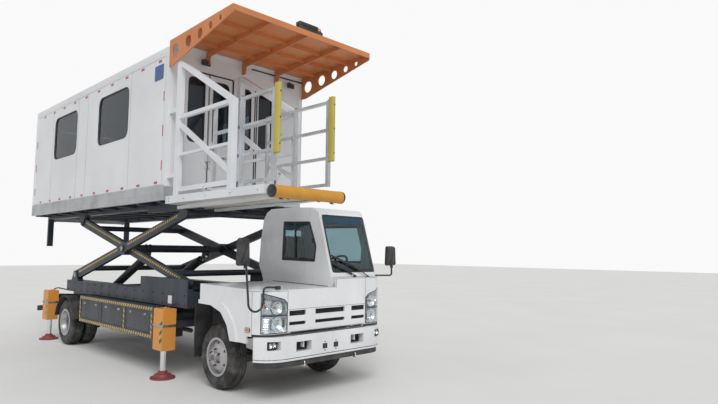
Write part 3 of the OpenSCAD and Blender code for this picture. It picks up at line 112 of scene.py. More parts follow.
# %% Camera
PHOTO_WIDTH, FOCAL_PIXELS, SENSOR = 718, 567.95, 36.0
CAMERA_AT = (6.317, -4.818, 1.717)
CAMERA_YAW, CAMERA_PITCH, CAMERA_ROLL = 134.61, 5.05, 0.57


def add_camera():
    """A camera that looks along yaw and pitch and is turned about its own axis by roll."""
    data = bpy.data.cameras.new("photo_camera")
    data.sensor_width = SENSOR
    data.lens = FOCAL_PIXELS / PHOTO_WIDTH * SENSOR
    camera = bpy.data.objects.new("photo_camera", data)
    bpy.context.scene.collection.objects.link(camera)
    yaw, pitch, roll = np.radians([CAMERA_YAW, CAMERA_PITCH, CAMERA_ROLL])
    forward = np.array([math.cos(yaw) * math.cos(pitch), math.sin(yaw) * math.cos(pitch),
        math.sin(pitch)])
    right = np.array([math.sin(yaw), -math.cos(yaw), 0])
    up = np.cross(right, forward)
    pose = np.eye(4)
    pose[:3, 0] = right * math.cos(roll) + up * math.sin(roll)
    pose[:3, 1] = up * math.cos(roll) - right * math.sin(roll)
    pose[:3, 2] = -forward
    pose[:3, 3] = np.array(CAMERA_AT) + SHIFT
    camera.matrix_world = Matrix(pose.tolist())
    return camera


bpy.context.scene.camera = add_camera()

# %% Lamps, sky and picture settings
KEY_STRENGTH, KEY_ANGLE = 1.7, 35.0
KEY_FROM = (0.62, -0.42, 0.8)
SKY_GREY, SKY_STRENGTH = 0.92, 0.62


def node(tree, kind, put=None, **settings):
    """Adds one shader node; put maps its sockets to a value or to another node's output."""
    made = tree.nodes.new("ShaderNode" + kind)
    for key, value in settings.items():
        setattr(made, key, value)
    for key, value in (put or {}).items():
        if isinstance(value, bpy.types.NodeSocket):
            tree.links.new(value, made.inputs[key])
        else:
            made.inputs[key].default_value = value
    return made


def light_the_stage():
    """One wide sun, and a sky that is plain light on the object and white behind it and
    through its glass."""
    sun = bpy.data.lights.new("key", "SUN")
    sun.energy, sun.angle = KEY_STRENGTH, math.radians(KEY_ANGLE)
    lamp = bpy.data.objects.new("key", sun)
    bpy.context.scene.collection.objects.link(lamp)
    z = np.array(KEY_FROM) / np.linalg.norm(KEY_FROM)
    x = np.cross((0, 0, 1), z)
    x /= np.linalg.norm(x)
    pose = np.eye(4)
    pose[:3, 0], pose[:3, 1], pose[:3, 2] = x, np.cross(z, x), z
    lamp.matrix_world = Matrix(pose.tolist())
    world = bpy.data.worlds.new("sky")
    world.use_nodes = True
    bpy.context.scene.world = world
    tree = world.node_tree
    tree.nodes.clear()
    path = node(tree, "LightPath")
    seen = node(tree, "Math", {0: path.outputs["Is Camera Ray"],
        1: path.outputs["Is Transmission Ray"]}, operation="MAXIMUM")
    plain = node(tree, "Background", {"Color": (SKY_GREY,) * 3 + (1,), "Strength": SKY_STRENGTH})
    white = node(tree, "Background", {"Color": (1, 1, 1, 1), "Strength": 0.95})
    both = node(tree, "MixShader", {0: seen.outputs[0], 1: plain.outputs[0], 2: white.outputs[0]})
    node(tree, "OutputWorld", {"Surface": both.outputs[0]})


light_the_stage()
bpy.context.scene.view_settings.view_transform = "Standard"

# %% [markdown]
# ## Finishes
#
# A finish here is a small program of nodes: a base colour, a slow mottle that breaks it
# up, dust that thickens towards the ground, and a fine bump for the skin of the paint.
# All of them read the object's own coordinates, so the pattern stays with the piece when
# the machine moves.

# %% Parts of a finish
def shade(colour, by=1.0):
    """A colour made darker by a factor, with its alpha."""
    return tuple(c * by for c in colour) + (1,)


def mix(tree, amount, first, second, kind="MIX"):
    """A colour between first and second, by amount."""
    return node(tree, "MixRGB", {"Fac": amount, "Color1": first, "Color2": second},
        blend_type=kind).outputs[0]


def noise(tree, where, scale, detail=3.0, rough=0.55, stretch=(1, 1, 1)):
    """Cloudy noise on the given coordinates, stretched along the axes."""
    held = node(tree, "Mapping", {"Vector": where, "Scale": stretch}).outputs[0]
    return node(tree, "TexNoise", {"Vector": held, "Scale": scale, "Detail": detail,
        "Roughness": rough}).outputs["Fac"]


def ramp(tree, value, low, high, to_low=0.0, to_high=1.0):
    """Value stretched from low..high to to_low..to_high, and held at the ends."""
    return node(tree, "MapRange", {"Value": value, "From Min": low, "From Max": high,
        "To Min": to_low, "To Max": to_high}).outputs[0]


def start(name):
    """An empty material with its surface shader and the object's coordinates."""
    made = bpy.data.materials.new(name)
    made.use_nodes = True
    tree = made.node_tree
    tree.nodes.clear()
    shader = node(tree, "BsdfPrincipled")
    node(tree, "OutputMaterial", {"Surface": shader.outputs[0]})
    where = node(tree, "TexCoord").outputs["Object"]
    return made, tree, shader, where


def bump(tree, shader, height, strength, distance):
    """Lets a height roughen the light on a surface."""
    made = node(tree, "Bump", {"Height": height, "Strength": strength, "Distance": distance})
    tree.links.new(made.outputs[0], shader.inputs["Normal"])


DUST = (0.36, 0.33, 0.29, 1)


def paint(name, colour, rough=0.35, coat=0.0, metal=0.0, mottle=0.06, dust=0.35, dust_top=1.0,
        skin=0.06, scale=1.6, chips=0.0, chip_colour=(0.2, 0.16, 0.13)):
    """Sprayed paint: colour times a slow mottle, with dust below dust_top and small chips."""
    made, tree, shader, where = start(name)
    slow = noise(tree, where, scale, 5)
    fine = noise(tree, where, 38.0, 4)
    deep = shade(colour, 1 - mottle * 2.2)
    tone = mix(tree, ramp(tree, slow, 0.35, 0.7), shade(colour), deep)
    height = node(tree, "SeparateXYZ", {0: where}).outputs["Z"]
    low = ramp(tree, height, dust_top, 0.15)
    soiled = node(tree, "Math", {0: low, 1: ramp(tree, fine, 0.35, 0.75, 0.25, 1)},
        operation="MULTIPLY").outputs[0]
    tone = mix(tree, ramp(tree, soiled, 0, 1, 0.0, dust), tone, DUST)
    if chips:
        spots = ramp(tree, noise(tree, where, 24.0, 8, 0.7), 0.69 - chips * 0.06, 0.71)
        tone = mix(tree, spots, tone, shade(chip_colour))
    tree.links.new(tone, shader.inputs["Base Color"])
    streak = ramp(tree, noise(tree, where, 5.0, 4, 0.6, (1, 1, 0.25)), 0.3, 0.75, rough - 0.06,
        rough + 0.12)
    tree.links.new(streak, shader.inputs["Roughness"])
    shader.inputs["Metallic"].default_value = metal
    shader.inputs["Coat Weight"].default_value = coat
    shader.inputs["Coat Roughness"].default_value = 0.06
    bump(tree, shader, noise(tree, where, 260.0, 2), skin, 0.002)
    return made


def metal(name, colour, rough=0.3, along=(1, 1, 1), grain=0.35, scale=60.0, stain=0.25):
    """Bare metal: noise stretched across the brushing gives its grain and its gloss."""
    made, tree, shader, where = start(name)
    lines = noise(tree, where, scale, 4, 0.6, along)
    cloud = noise(tree, where, 3.0, 5)
    dull = shade(colour, 1 - stain)
    tree.links.new(mix(tree, ramp(tree, cloud, 0.4, 0.7), shade(colour), dull),
        shader.inputs["Base Color"])
    tree.links.new(ramp(tree, lines, 0.3, 0.7, rough * 0.7, rough * 1.4),
        shader.inputs["Roughness"])
    shader.inputs["Metallic"].default_value = 1.0
    bump(tree, shader, lines, grain, 0.0006)
    return made


def rubber(name, colour, rough=0.7, grain=120.0, dusty=0.3, sheen=0.0):
    """Rubber or grained plastic: a fine pebble bump and a film of dust in patches."""
    made, tree, shader, where = start(name)
    film = ramp(tree, noise(tree, where, 6.0, 6, 0.65), 0.42, 0.75, 0, dusty)
    tree.links.new(mix(tree, film, shade(colour), DUST), shader.inputs["Base Color"])
    tree.links.new(ramp(tree, noise(tree, where, 9.0, 4), 0.3, 0.7, rough - 0.08, rough + 0.08),
        shader.inputs["Roughness"])
    shader.inputs["Sheen Weight"].default_value = sheen
    bump(tree, shader, noise(tree, where, grain, 3), 0.25, 0.001)
    return made


def weave(tree, where, scale, directions):
    """The higher of two crossed waves, for the threads of a cloth."""
    first, second = (node(tree, "TexWave", {"Vector": where, "Scale": scale},
        bands_direction=d).outputs["Fac"] for d in directions)
    return node(tree, "Math", {0: first, 1: second}, operation="MAXIMUM").outputs[0]


def glass(name, colour, rough=0.02, film=0.05):
    """Clear glass with a tint and a thin film of dust that dulls it in patches."""
    made, tree, shader, where = start(name)
    patches = noise(tree, where, 3.5, 5, 0.6)
    tree.links.new(mix(tree, ramp(tree, patches, 0.45, 0.8, 0, film), shade(colour), DUST),
        shader.inputs["Base Color"])
    tree.links.new(ramp(tree, patches, 0.4, 0.75, rough, rough + film), shader.inputs["Roughness"])
    shader.inputs["Transmission Weight"].default_value = 1.0
    shader.inputs["IOR"].default_value = 1.45
    return made


# %% The finishes of this machine
WHITE = paint("cab_white", (0.8, 0.82, 0.84), 0.3, coat=0.6, dust=0.42, dust_top=0.95)
VAN_WHITE = paint("van_white", (0.78, 0.8, 0.82), 0.34, coat=0.3, dust=0.1, scale=0.8)
FRAME_WHITE = paint("platform_white", (0.76, 0.78, 0.81), 0.42, mottle=0.05, chips=0.3)
CREAM = paint("underside_cream", (0.66, 0.63, 0.57), 0.5, mottle=0.1, chips=0.4)
CHASSIS = paint("chassis_black", (0.03, 0.033, 0.04), 0.5, mottle=0.2, dust=0.45, chips=0.4)
NAVY = paint("lift_navy", (0.035, 0.045, 0.062), 0.42, mottle=0.18, dust=0.3, chips=0.6,
    chip_colour=(0.22, 0.22, 0.22))
GRIME = paint("engine_grime", (0.13, 0.13, 0.135), 0.6, mottle=0.3, dust=0.5, chips=0.7)
# The canopy's own orange, darkened to paint the shade under the canopy.
ORANGE_PAINTED_SHADE = paint("canopy_orange", (0.66, 0.24, 0.085), 0.42, mottle=0.08, dust=0.0)
JACK_ORANGE = paint("jack_orange", (0.8, 0.33, 0.055), 0.45, mottle=0.08, dust=0.25, dust_top=0.8,
    chips=0.8)
SILVER = paint("wheel_silver", (0.55, 0.56, 0.58), 0.36, metal=0.7, dust=0.3, chips=0.4)
# This yellow is darkened to paint the shade that the strips stand in.
YELLOW_PAINTED_SHADE = paint("strip_yellow_painted_shade", (0.5, 0.41, 0.085), 0.5, mottle=0.08, dust=0.0, skin=0.15)
RED = paint("reflector_red", (0.5, 0.015, 0.03), 0.2, coat=0.8, dust=0.0)
AMBER = paint("lamp_amber", (0.85, 0.22, 0.02), 0.18, coat=0.8, dust=0.0)
BLUE = paint("panel_blue", (0.07, 0.13, 0.33), 0.4, mottle=0.1, dust=0.0)
GLOSS_BLACK = paint("gloss_black", (0.012, 0.013, 0.016), 0.22, coat=0.5, dust=0.2)
ALUMINIUM = metal("rail_aluminium", (0.66, 0.68, 0.7), 0.36, (0.04, 1, 1))
HAND_STEEL = metal("handrail_steel", (0.7, 0.72, 0.74), 0.26, (1, 1, 0.05))
CHROME = metal("chrome", (0.84, 0.85, 0.87), 0.08, grain=0.05, stain=0.1)
ZINC = metal("zinc_steel", (0.52, 0.53, 0.54), 0.42, grain=0.4, scale=25.0, stain=0.35)
TYRE = rubber("tyre_rubber", (0.022, 0.022, 0.024), 0.78, 90.0, 0.35)
SEAL = rubber("black_rubber", (0.018, 0.019, 0.021), 0.55, 160.0, 0.12)
PLASTIC = rubber("grained_black", (0.025, 0.026, 0.029), 0.5, 220.0, 0.18)
CAB_GLASS = glass("cab_glass", (0.42, 0.55, 0.58))
VAN_GLASS = glass("van_glass", (0.2, 0.25, 0.3), 0.03)
CLEAR = glass("lamp_lens", (0.92, 0.95, 0.97), 0.01, 0.02)
print("finishes", len(bpy.data.materials))

# %% [markdown]
# ## Shapes from arrays
#
# Each new piece is a surface: a profile carried along a path, or a shape worked out on a
# grid of two parameters. The helpers below return points and faces as arrays, `both` adds
# the twin on the other side, and `put` writes a shape into a mesh in one go.

# %% Surfaces
def xyz(x, y, z):
    """Points from their three coordinates, each an array or one number for all."""
    return np.stack(np.broadcast_arrays(x, y, z), -1)


def grid(points, loop_u=False, loop_v=False, cap_u=False):
    """Quads between neighbours of an array of points of shape (u, v, 3); a loop closes on
    itself, and cap_u closes the first and last row, each a ring, with one face."""
    points = np.asarray(points)
    nu, nv = points.shape[:2]
    index = np.arange(nu * nv).reshape(nu, nv)
    caps = [index[:1, ::-1], index[-1:]] if cap_u else []
    if loop_u:
        index = np.vstack([index, index[:1]])
    if loop_v:
        index = np.hstack([index, index[:, :1]])
    quads = np.stack([index[:-1, :-1], index[:-1, 1:], index[1:, 1:], index[1:, :-1]], -1)
    return points.reshape(-1, 3), [quads.reshape(-1, 4)] + caps


def join(*shapes):
    """Several shapes as one, with the faces counted on."""
    points, faces, count = [], [], 0
    for some_points, some_faces in shapes:
        points.append(some_points)
        faces += [f + count for f in some_faces]
        count += len(some_points)
    return np.concatenate(points), faces


def copies(points, faces):
    """Shapes alike, as points of shape (copy, point, 3): the faces of one, counted on."""
    step = (np.arange(points.shape[0]) * points.shape[1])[:, None, None]
    return points.reshape(-1, 3), [(f[None] + step).reshape(-1, f.shape[1]) for f in faces]


def mirrored(shape):
    """The same shape on the other side of the machine: y changes its sign."""
    points, faces = shape
    return points * [1, -1, 1], [f[:, ::-1] for f in faces]


def moved(shape, by):
    """The shape carried along by (x, y, z)."""
    return shape[0] + np.array(by), shape[1]


def both(*shapes):
    """The shapes and their twins on the other side."""
    shape = join(*shapes)
    return join(shape, mirrored(shape))


def places_of(mesh):
    """The mesh's vertices, as (count, 3)."""
    at = np.zeros(len(mesh.vertices) * 3)
    mesh.vertices.foreach_get("co", at)
    return at.reshape(-1, 3)


def put(name, shape, material, body="root", slot=None, sharp=32, facing=None):
    """Writes a shape, given from the front axle, as a piece that rides on a body.
    Doubles are merged and faces turned outwards, or towards facing on an open sheet."""
    points, faces = shape
    mesh = bpy.data.meshes.new(name)
    mesh.from_pydata((points + SHIFT).tolist(), [], [row for f in faces for row in f.tolist()])
    work = bmesh.new()
    work.from_mesh(mesh)
    bmesh.ops.remove_doubles(work, verts=work.verts, dist=2e-5)
    bmesh.ops.recalc_face_normals(work, faces=work.faces)
    if facing is not None:
        total = np.sum([np.array(f.normal) * f.calc_area() for f in work.faces], axis=0)
        if np.dot(total, facing) < 0:
            bmesh.ops.reverse_faces(work, faces=work.faces)
    work.to_mesh(mesh)
    work.free()
    mesh.shade_smooth()
    mesh.set_sharp_from_angle(angle=math.radians(sharp))
    mesh.materials.append(material)
    piece = bpy.data.objects.new(name, mesh)
    bpy.context.scene.collection.objects.link(piece)
    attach(piece, body)
    return piece


# %% Outlines and paths
def ring(radius, count, start_turn=0.0):
    """Points of a circle, as (count, 2)."""
    turn = start_turn + np.arange(count) * 2 * math.pi / count
    return np.stack([np.cos(turn), np.sin(turn)], -1) * radius


def softened(corners, radius, steps=5, closed=True):
    """The outline with each corner replaced by a parabola that starts radius before it:
    (1-t)^2 a + 2t(1-t) corner + t^2 b."""
    corners = np.asarray(corners, float)
    before, after = np.roll(corners, 1, 0) - corners, np.roll(corners, -1, 0) - corners
    radius = np.broadcast_to(radius, len(corners))[:, None]

    def towards(side):
        """The point radius along a side, or its middle if the side is short."""
        length = np.linalg.norm(side, axis=1, keepdims=True)
        return corners + side / length * np.minimum(radius, length * 0.499)

    a, b = towards(before)[:, None], towards(after)[:, None]
    t = np.linspace(0, 1, steps)[None, :, None]
    bent = (1 - t) ** 2 * a + 2 * t * (1 - t) * corners[:, None] + t ** 2 * b
    if closed:
        return bent.reshape(-1, corners.shape[1])
    return np.concatenate([corners[:1], bent[1:-1].reshape(-1, corners.shape[1]), corners[-1:]])


def rectangle(low, high):
    """The four corners of a flat rectangle."""
    return np.array([[low[0], low[1]], [high[0], low[1]], [high[0], high[1]], [low[0], high[1]]])


def rounded(low, high, radius, steps=5):
    """A rectangle with rounded corners."""
    return softened(rectangle(low, high), radius, steps)


def inset(outline, by):
    """Each point of a closed outline moved inwards by a length, along its own normal."""
    before, after = np.roll(outline, 1, 0), np.roll(outline, -1, 0)
    side = after - before
    normal = np.stack([-side[:, 1], side[:, 0]], -1)
    normal /= np.maximum(np.linalg.norm(normal, axis=1, keepdims=True), 1e-9)
    area = np.sum(outline[:, 0] * after[:, 1] - outline[:, 1] * after[:, 0])
    return outline + normal * by * np.sign(area)


def sweep(path, profile, up=(0, 0, 1), closed=False):
    """Carries a closed profile (side, height) along a path; side is across up and the path."""
    path = np.asarray(path, float)
    ahead = np.roll(path, -1, 0) - np.roll(path, 1, 0)
    if not closed:
        ahead[0], ahead[-1] = path[1] - path[0], path[-1] - path[-2]
    ahead /= np.linalg.norm(ahead, axis=1, keepdims=True)
    side = np.cross(ahead, np.broadcast_to(up, ahead.shape))
    side /= np.linalg.norm(side, axis=1, keepdims=True)
    height = np.cross(side, ahead)
    points = (path[:, None] + side[:, None] * profile[None, :, :1]
        + height[:, None] * profile[None, :, 1:])
    return grid(points, loop_u=closed, loop_v=True, cap_u=not closed)


def tube(points, radius, bend=0.05, up=(0, 0, 1), count=12):
    """A round tube through points, with its corners bent."""
    return sweep(softened(points, bend, 6, closed=False), ring(radius, count), up)


def revolve(profile, centre, axis=1, count=32):
    """Turns a profile of (radius, distance along the axis) about an axis through centre."""
    turn = np.arange(count) * 2 * math.pi / count
    profile = np.asarray(profile, float)
    points = np.zeros((count, len(profile), 3))
    first, second = [(1, 2), (2, 0), (0, 1)][axis]
    points[..., first] = np.cos(turn)[:, None] * profile[None, :, 0]
    points[..., second] = np.sin(turn)[:, None] * profile[None, :, 0]
    points[..., axis] = profile[None, :, 1]
    return grid(points + np.array(centre), loop_u=True)


def place_on(plane):
    """A function from a flat outline and a height to points: plane is 'xz', 'yz' or 'xy', or
    is such a function already."""
    planes = {
        "xz": lambda flat, height: xyz(flat[..., 0], height, flat[..., 1]),
        "yz": lambda flat, height: xyz(height, flat[..., 0], flat[..., 1]),
        "xy": lambda flat, height: xyz(flat[..., 0], flat[..., 1], height),
    }
    return plane if callable(plane) else planes[plane]


def plate(outline, plane, low, high, edge=0.002):
    """A flat plate with eased edges: the outline at four heights, set in at both faces."""
    put_at, inner = place_on(plane), inset(outline, edge)
    ease = math.copysign(edge, high - low)
    rows = [put_at(inner, low), put_at(outline, low + ease), put_at(outline, high - ease),
        put_at(inner, high)]
    return grid(rows, loop_v=True, cap_u=True)


def bead(outer, inner, plane, low, high, steps=7):
    """A rubber bead between two outlines: its section rises as a half round from low to
    high, and its back is closed."""
    put_at = place_on(plane)
    t = np.linspace(0, 1, steps)[:, None]
    flat = [outer * (1 - k) + inner * k for k in t]
    rise = low + (high - low) * np.sin(math.pi * t[:, 0]) ** 0.6
    rows = [put_at(f, h) for f, h in zip(flat, rise)]
    return grid(rows, loop_u=True, loop_v=True)


_corner = np.array([[i, j, k] for i in (0, 1) for j in (0, 1) for k in (0, 1)])


def _box_faces():
    """Faces of a box with cut edges: point 3*corner + axis lies on that axis's face."""
    at = {tuple(c): n for n, c in enumerate(_corner)}
    wide = []
    for axis in range(3):
        b, c = (axis + 1) % 3, (axis + 2) % 3
        corner = lambda on_axis, on_b, on_c: at[tuple(np.roll((on_axis, on_b, on_c), axis))]
        for side in (0, 1):
            face = [corner(side, s, t) for s, t in ((0, 0), (1, 0), (1, 1), (0, 1))]
            wide.append([3 * n + axis for n in face])
            for other in (0, 1):
                n0, n1 = corner(0, side, other), corner(1, side, other)
                wide.append([3 * n0 + b, 3 * n1 + b, 3 * n1 + c, 3 * n0 + c])
    return np.array(wide), np.arange(24).reshape(8, 3)


BOX_WIDE, BOX_NARROW = _box_faces()


def boxes(lows, highs, edge=0.003):
    """Many boxes with cut edges at once, from their low and high corners."""
    lows, highs = np.atleast_2d(lows).astype(float), np.atleast_2d(highs).astype(float)
    middle, half = (lows + highs) / 2, (highs - lows) / 2
    sign = _corner * 2 - 1
    full = np.repeat(sign, 3, 0)[None]
    keep = np.tile(np.eye(3), (8, 1))[None]
    reach = half[:, None] - np.minimum(edge, half.min(1))[:, None, None] * (1 - keep)
    points = middle[:, None] + full * reach
    return copies(points, (BOX_WIDE, BOX_NARROW))


def studs(places, radius, height, axis, sides=6, dome=0.35):
    """Many nuts or rivets: a short prism with an eased top, at each place, along axis."""
    places = np.atleast_2d(places)
    one, faces = revolve([(0, 0), (radius, 0), (radius, height * (1 - dome)),
        (radius * 0.72, height), (0, height)], (0, 0, 0), axis, sides)
    return copies(places[:, None] + one[None], faces)


print("shape helpers ready")

# %% [markdown]
# ## Finishes on the carried-over pieces
#
# The model's own pieces stay as they are. Each gets the finish that it has on the
# machine; the jack legs are chromed above and red paint at the foot, so that finish
# changes with height.

# %% Dress the model's own pieces
def jack_leg_finish():
    """Chrome above the foot, dark red paint below, by the height of the point."""
    made, tree, shader, where = start("jack_leg")
    height = node(tree, "SeparateXYZ", {0: where}).outputs["Z"]
    above = ramp(tree, height, 0.104, 0.107)
    cloud = noise(tree, where, 14.0, 6, 0.65)
    red = mix(tree, ramp(tree, cloud, 0.4, 0.75), (0.25, 0.04, 0.045, 1), (0.16, 0.06, 0.05, 1))
    tree.links.new(mix(tree, above, red, (0.8, 0.81, 0.83, 1)), shader.inputs["Base Color"])
    tree.links.new(above, shader.inputs["Metallic"])
    tree.links.new(ramp(tree, above, 0, 1, 0.55, 0.12), shader.inputs["Roughness"])
    bump(tree, shader, noise(tree, where, 150.0, 2), 0.05, 0.002)
    return made


JACK_LEG = jack_leg_finish()
FINISH_OF = {
    CHASSIS: "chassis_frame front_axle rear_axle knuckle_right knuckle_left cylinder_barrels",
    NAVY: "side_cabinets lift_base roller_tracks jack_arms outer_arms inner_arms van_underframe "
        "rear_posts",
    GRIME: "powertrain tie_rod",
    JACK_ORANGE: "jack_boxes",
    PLASTIC: "mudguards valance cab_interior",
    WHITE: "front_bumper front_panel engine_deck cab_shell cab_door",
    CAB_GLASS: "cab_glass",
    VAN_GLASS: "van_windows",
    VAN_WHITE: "van_shell door_leaf_right door_leaf_left",
    ALUMINIUM: "side_rails rear_shutter",
    FRAME_WHITE: "front_platform",
    ORANGE_PAINTED_SHADE: "canopy",
    HAND_STEEL: "handrail_right handrail_left",
    CHROME: "cylinder_rods",
    SILVER: "rim_front_right rim_front_left rims_rear_right rims_rear_left",
    ZINC: "tail_lift_carriage tail_lift_platform",
    JACK_LEG: "jack_leg_front_right jack_leg_front_left jack_leg_rear_right jack_leg_rear_left",
}


def dress(material, names):
    """Gives the material to each node of the model that is named."""
    for name in names:
        mesh = frame["nodes"][name].data
        mesh.materials.clear()
        mesh.materials.append(material)


for finish, names in FINISH_OF.items():
    dress(finish, names.split())
print("dressed", sum(len(n.split()) for n in FINISH_OF.values()), "pieces")

# %% [markdown]
# ## Floor
#
# The floor is a wide pale sheet that isn't part of the machine. Its colour is plain, with
# a faint cloud, so that the shadow under the truck is what grounds it.

# %% Floor
FLOOR_HALF = 60.0


def add_floor():
    """A square of plain floor, which belongs to the stage and not to the machine."""
    line = np.linspace(-FLOOR_HALF, FLOOR_HALF, 3)
    x, y = np.meshgrid(line, line, indexing="ij")
    floor = put("floor", grid(xyz(x, y, 0.0)), FLOOR, facing=(0, 0, 1))
    floor.parent = None
    del floor["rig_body"]


FLOOR = paint("floor_pale", (0.74, 0.74, 0.73), 0.8, mottle=0.02, dust=0.0, scale=0.5)
add_floor()

# %% [markdown]
# ## Tyres and wheels
#
# A tyre is its half section turned about the axle. Round grooves are cut into the section,
# and short cuts at the shoulders come from the turn angle, so the tread is one surface.

# %% Tyres
BEAD_R = 0.222
HALF_SECTION = np.array([(BEAD_R, 0.0), (BEAD_R, 0.0855), (0.247, 0.0995), (0.297, 0.1075),
    (0.34, 0.1055), (0.378, 0.0935), (0.395, 0.0735), (0.4, 0.05), (0.4, 0.0)])
TREAD_GROOVES, GROOVE_WIDTH, GROOVE_DEPTH = (0.021, 0.056), 0.0045, 0.01
TREAD_FROM, BLOCKS, TURNS = 0.386, 52, 312
CUT_FROM, CUT_DEPTH = {"ribbed": 0.06, "blocky": 0.026}, {"ribbed": 0.006, "blocky": 0.009}
WALL_RIBS, RIB_PITCH, RIB_HEIGHT = (0.235, 0.285), 0.0125, 0.0012


def tyre(centre, kind):
    """Radius = section - groove where the offset is near a groove - cut where the shoulder
    stands in a gap between two blocks; the kind of tread says how far the cuts reach inwards."""
    soft = softened(HALF_SECTION[1:-1], 0.012, 4, closed=False)
    half = np.concatenate([HALF_SECTION[:1], soft, HALF_SECTION[-1:]])
    along = np.concatenate([[0], np.cumsum(np.linalg.norm(np.diff(half, axis=0), axis=1))])
    crown = along[-1] - 0.11
    steps = np.concatenate([np.linspace(0, crown, 20, endpoint=False),
        np.linspace(crown, along[-1], 34)])
    section = np.stack([np.interp(steps, along, half[:, i]) for i in (0, 1)], -1)
    section = np.concatenate([section, section[-2:0:-1] * [1, -1]])
    turn = np.arange(TURNS)[:, None] * 2 * math.pi / TURNS
    radius, offset = (np.broadcast_to(section[:, i], (TURNS, len(section))) for i in (0, 1))
    near = np.min([np.abs(np.abs(offset) - g) for g in TREAD_GROOVES], axis=0)
    tread = np.clip((radius - TREAD_FROM) / 0.006, 0, 1)
    groove = np.clip((GROOVE_WIDTH - near) / 0.002, 0, 1) * GROOVE_DEPTH
    wave = np.abs((turn * BLOCKS / (2 * math.pi) + np.sign(offset) * 0.25) % 1 - 0.5)
    edge = np.clip((np.abs(offset) - CUT_FROM[kind]) / 0.004, 0, 1)
    cut = np.clip((0.14 - wave) / 0.06, 0, 1) * edge * CUT_DEPTH[kind]
    inner, outer = (np.clip(way / 0.01, 0, 1) for way in (radius - WALL_RIBS[0],
        WALL_RIBS[1] - radius))
    ribs = RIB_HEIGHT * np.sin((radius - BEAD_R) * 2 * math.pi / RIB_PITCH) * inner * outer
    radius = radius - np.maximum(groove, cut) * tread
    offset = offset + np.sign(offset) * ribs
    points = xyz(np.cos(turn) * radius, offset, np.sin(turn) * radius) + np.array(centre)
    return grid(points, loop_u=True, loop_v=True)


def add_tyres():
    """Ribbed tyres in front and blocky twins behind, in place of the model's plain ones."""
    for side, sign in SIDES:
        front = tyre((0, sign * FRONT_TYRE_Y, TYRE_R), "ribbed")
        piece = put(f"tread_front_{side}", front, TYRE, f"wheel_front_{side}", "tyre_black")
        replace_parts(piece, f"tyre_front_{side}")
        rear = join(*[tyre((REAR_X, sign * y, TYRE_R), "blocky") for y in REAR_TYRES_Y])
        piece = put(f"tread_rear_{side}", rear, TYRE, f"wheels_rear_{side}", "tyre_black")
        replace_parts(piece, f"tyres_rear_{side}")


add_tyres()
print("tyres ready")

# %% Nuts, hub caps and valves
NUT_RING_R, NUTS = 0.098, 6
# For each axle: the body's name, its x, and the y of the disc's face and of the hub's end
AXLES = (("front", "wheel_front", 0, 0.9285, 0.9705), ("rear", "wheels_rear", REAR_X, 0.8795,
    1.012))


def add_wheel_trim():
    """Rusty nuts with their washers and bolts, and a cap on each hub."""
    around = ring(NUT_RING_R, NUTS, math.radians(30))
    cap = np.array([(0, 0.022), (0.02, 0.02), (0.033, 0.012), (0.038, 0.002), (0.038, -0.006),
        (0, -0.006)])
    for side, sign in SIDES:
        for where, body, x, disc, hub in AXLES:
            places = xyz(around[:, 0] + x, disc - 0.001, around[:, 1] + TYRE_R)
            nuts = join(studs(places, 0.0155, 0.004, 1, 24, 0.2), studs(places, 0.0135, 0.024, 1),
                studs(places, 0.0065, 0.036, 1, 12))
            hub_cap = revolve(cap + [0, hub], (x, 0, TYRE_R), 1, 32)
            for name, shape, finish in (("nuts", nuts, RUSTY), ("cap", hub_cap, GRIME)):
                put(f"{name}_{where}_{side}", shape if sign > 0 else mirrored(shape), finish,
                    f"{body}_{side}")


RUSTY = paint("rusty_nut", (0.2, 0.085, 0.05), 0.6, metal=0.5, mottle=0.25, dust=0.2, chips=0.8)
add_wheel_trim()
print("wheel trim ready")

# %% [markdown]
# ## The rounded nose of the truck
#
# Lamps, seams and vents lie on a skin that is flat in front and turns round a corner to
# each side. `nose` finds a point on it from the way along the skin, the height, and how
# far out from the skin it stands.

# %% The nose's skin
NOSE_R, BUMPER_R, PILLAR_R = 0.23, 0.32, 0.12
BUMPER_FRONT = 1.12


def skin(front, side, radius, way, z, out):
    """x = front - R + (R + out) cos a, y = flat + (R + out) sin a, where a = (way - flat) / R
    between 0 and a quarter turn; past the corner the skin runs straight back."""
    way, z, out = np.broadcast_arrays(np.asarray(way, float), z, out)
    flat = side - radius
    angle = np.clip((np.abs(way) - flat) / radius, 0, math.pi / 2)
    back = np.maximum(np.abs(way) - flat - radius * math.pi / 2, 0)
    x = front - radius + (radius + out) * np.cos(angle) - back
    y = np.minimum(np.abs(way), flat) + (radius + out) * np.sin(angle)
    return xyz(x, np.sign(way) * y, z)


def nose(way, z, out=0.0):
    """The skin of the truck's front panel."""
    return skin(CAB_FRONT, CAB_SIDE, NOSE_R, way, z, out)


def slot_back(way, z, out=0.0):
    """The hollow side of the bumper, behind its slots."""
    return skin(BUMPER_FRONT - 0.09, CAB_SIDE - 0.03, BUMPER_R - 0.03, way, z, out)


def seam(ways, heights, width=0.0035):
    """A dark joint between panels: a low bead along a line on the skin."""
    t = np.linspace(0, 1, 40)
    at = np.linspace(0, 1, len(ways))
    path = nose(np.interp(t, at, ways), np.interp(t, at, heights), 0.0002)
    return sweep(path, ring(width / 2, 8), up=(1, 0.01, 0.02))


# %% Headlamps
LAMP_LOW_Z, LAMP_SPLIT_Z = 0.794, 0.985
LAMP_IN, LAMP_REAR_X = 0.659, 0.984
LAMP_OUT = CAB_SIDE - NOSE_R + NOSE_R * math.acos((LAMP_REAR_X - CAB_FRONT + NOSE_R) / NOSE_R)
LAMP_TOP = ((0.655, 1.119), (0.7, 1.161), (1.025, 1.25))
LAMP_CELLS, LAMP_UP = (30, 14), (0.1, 0.02, 1)


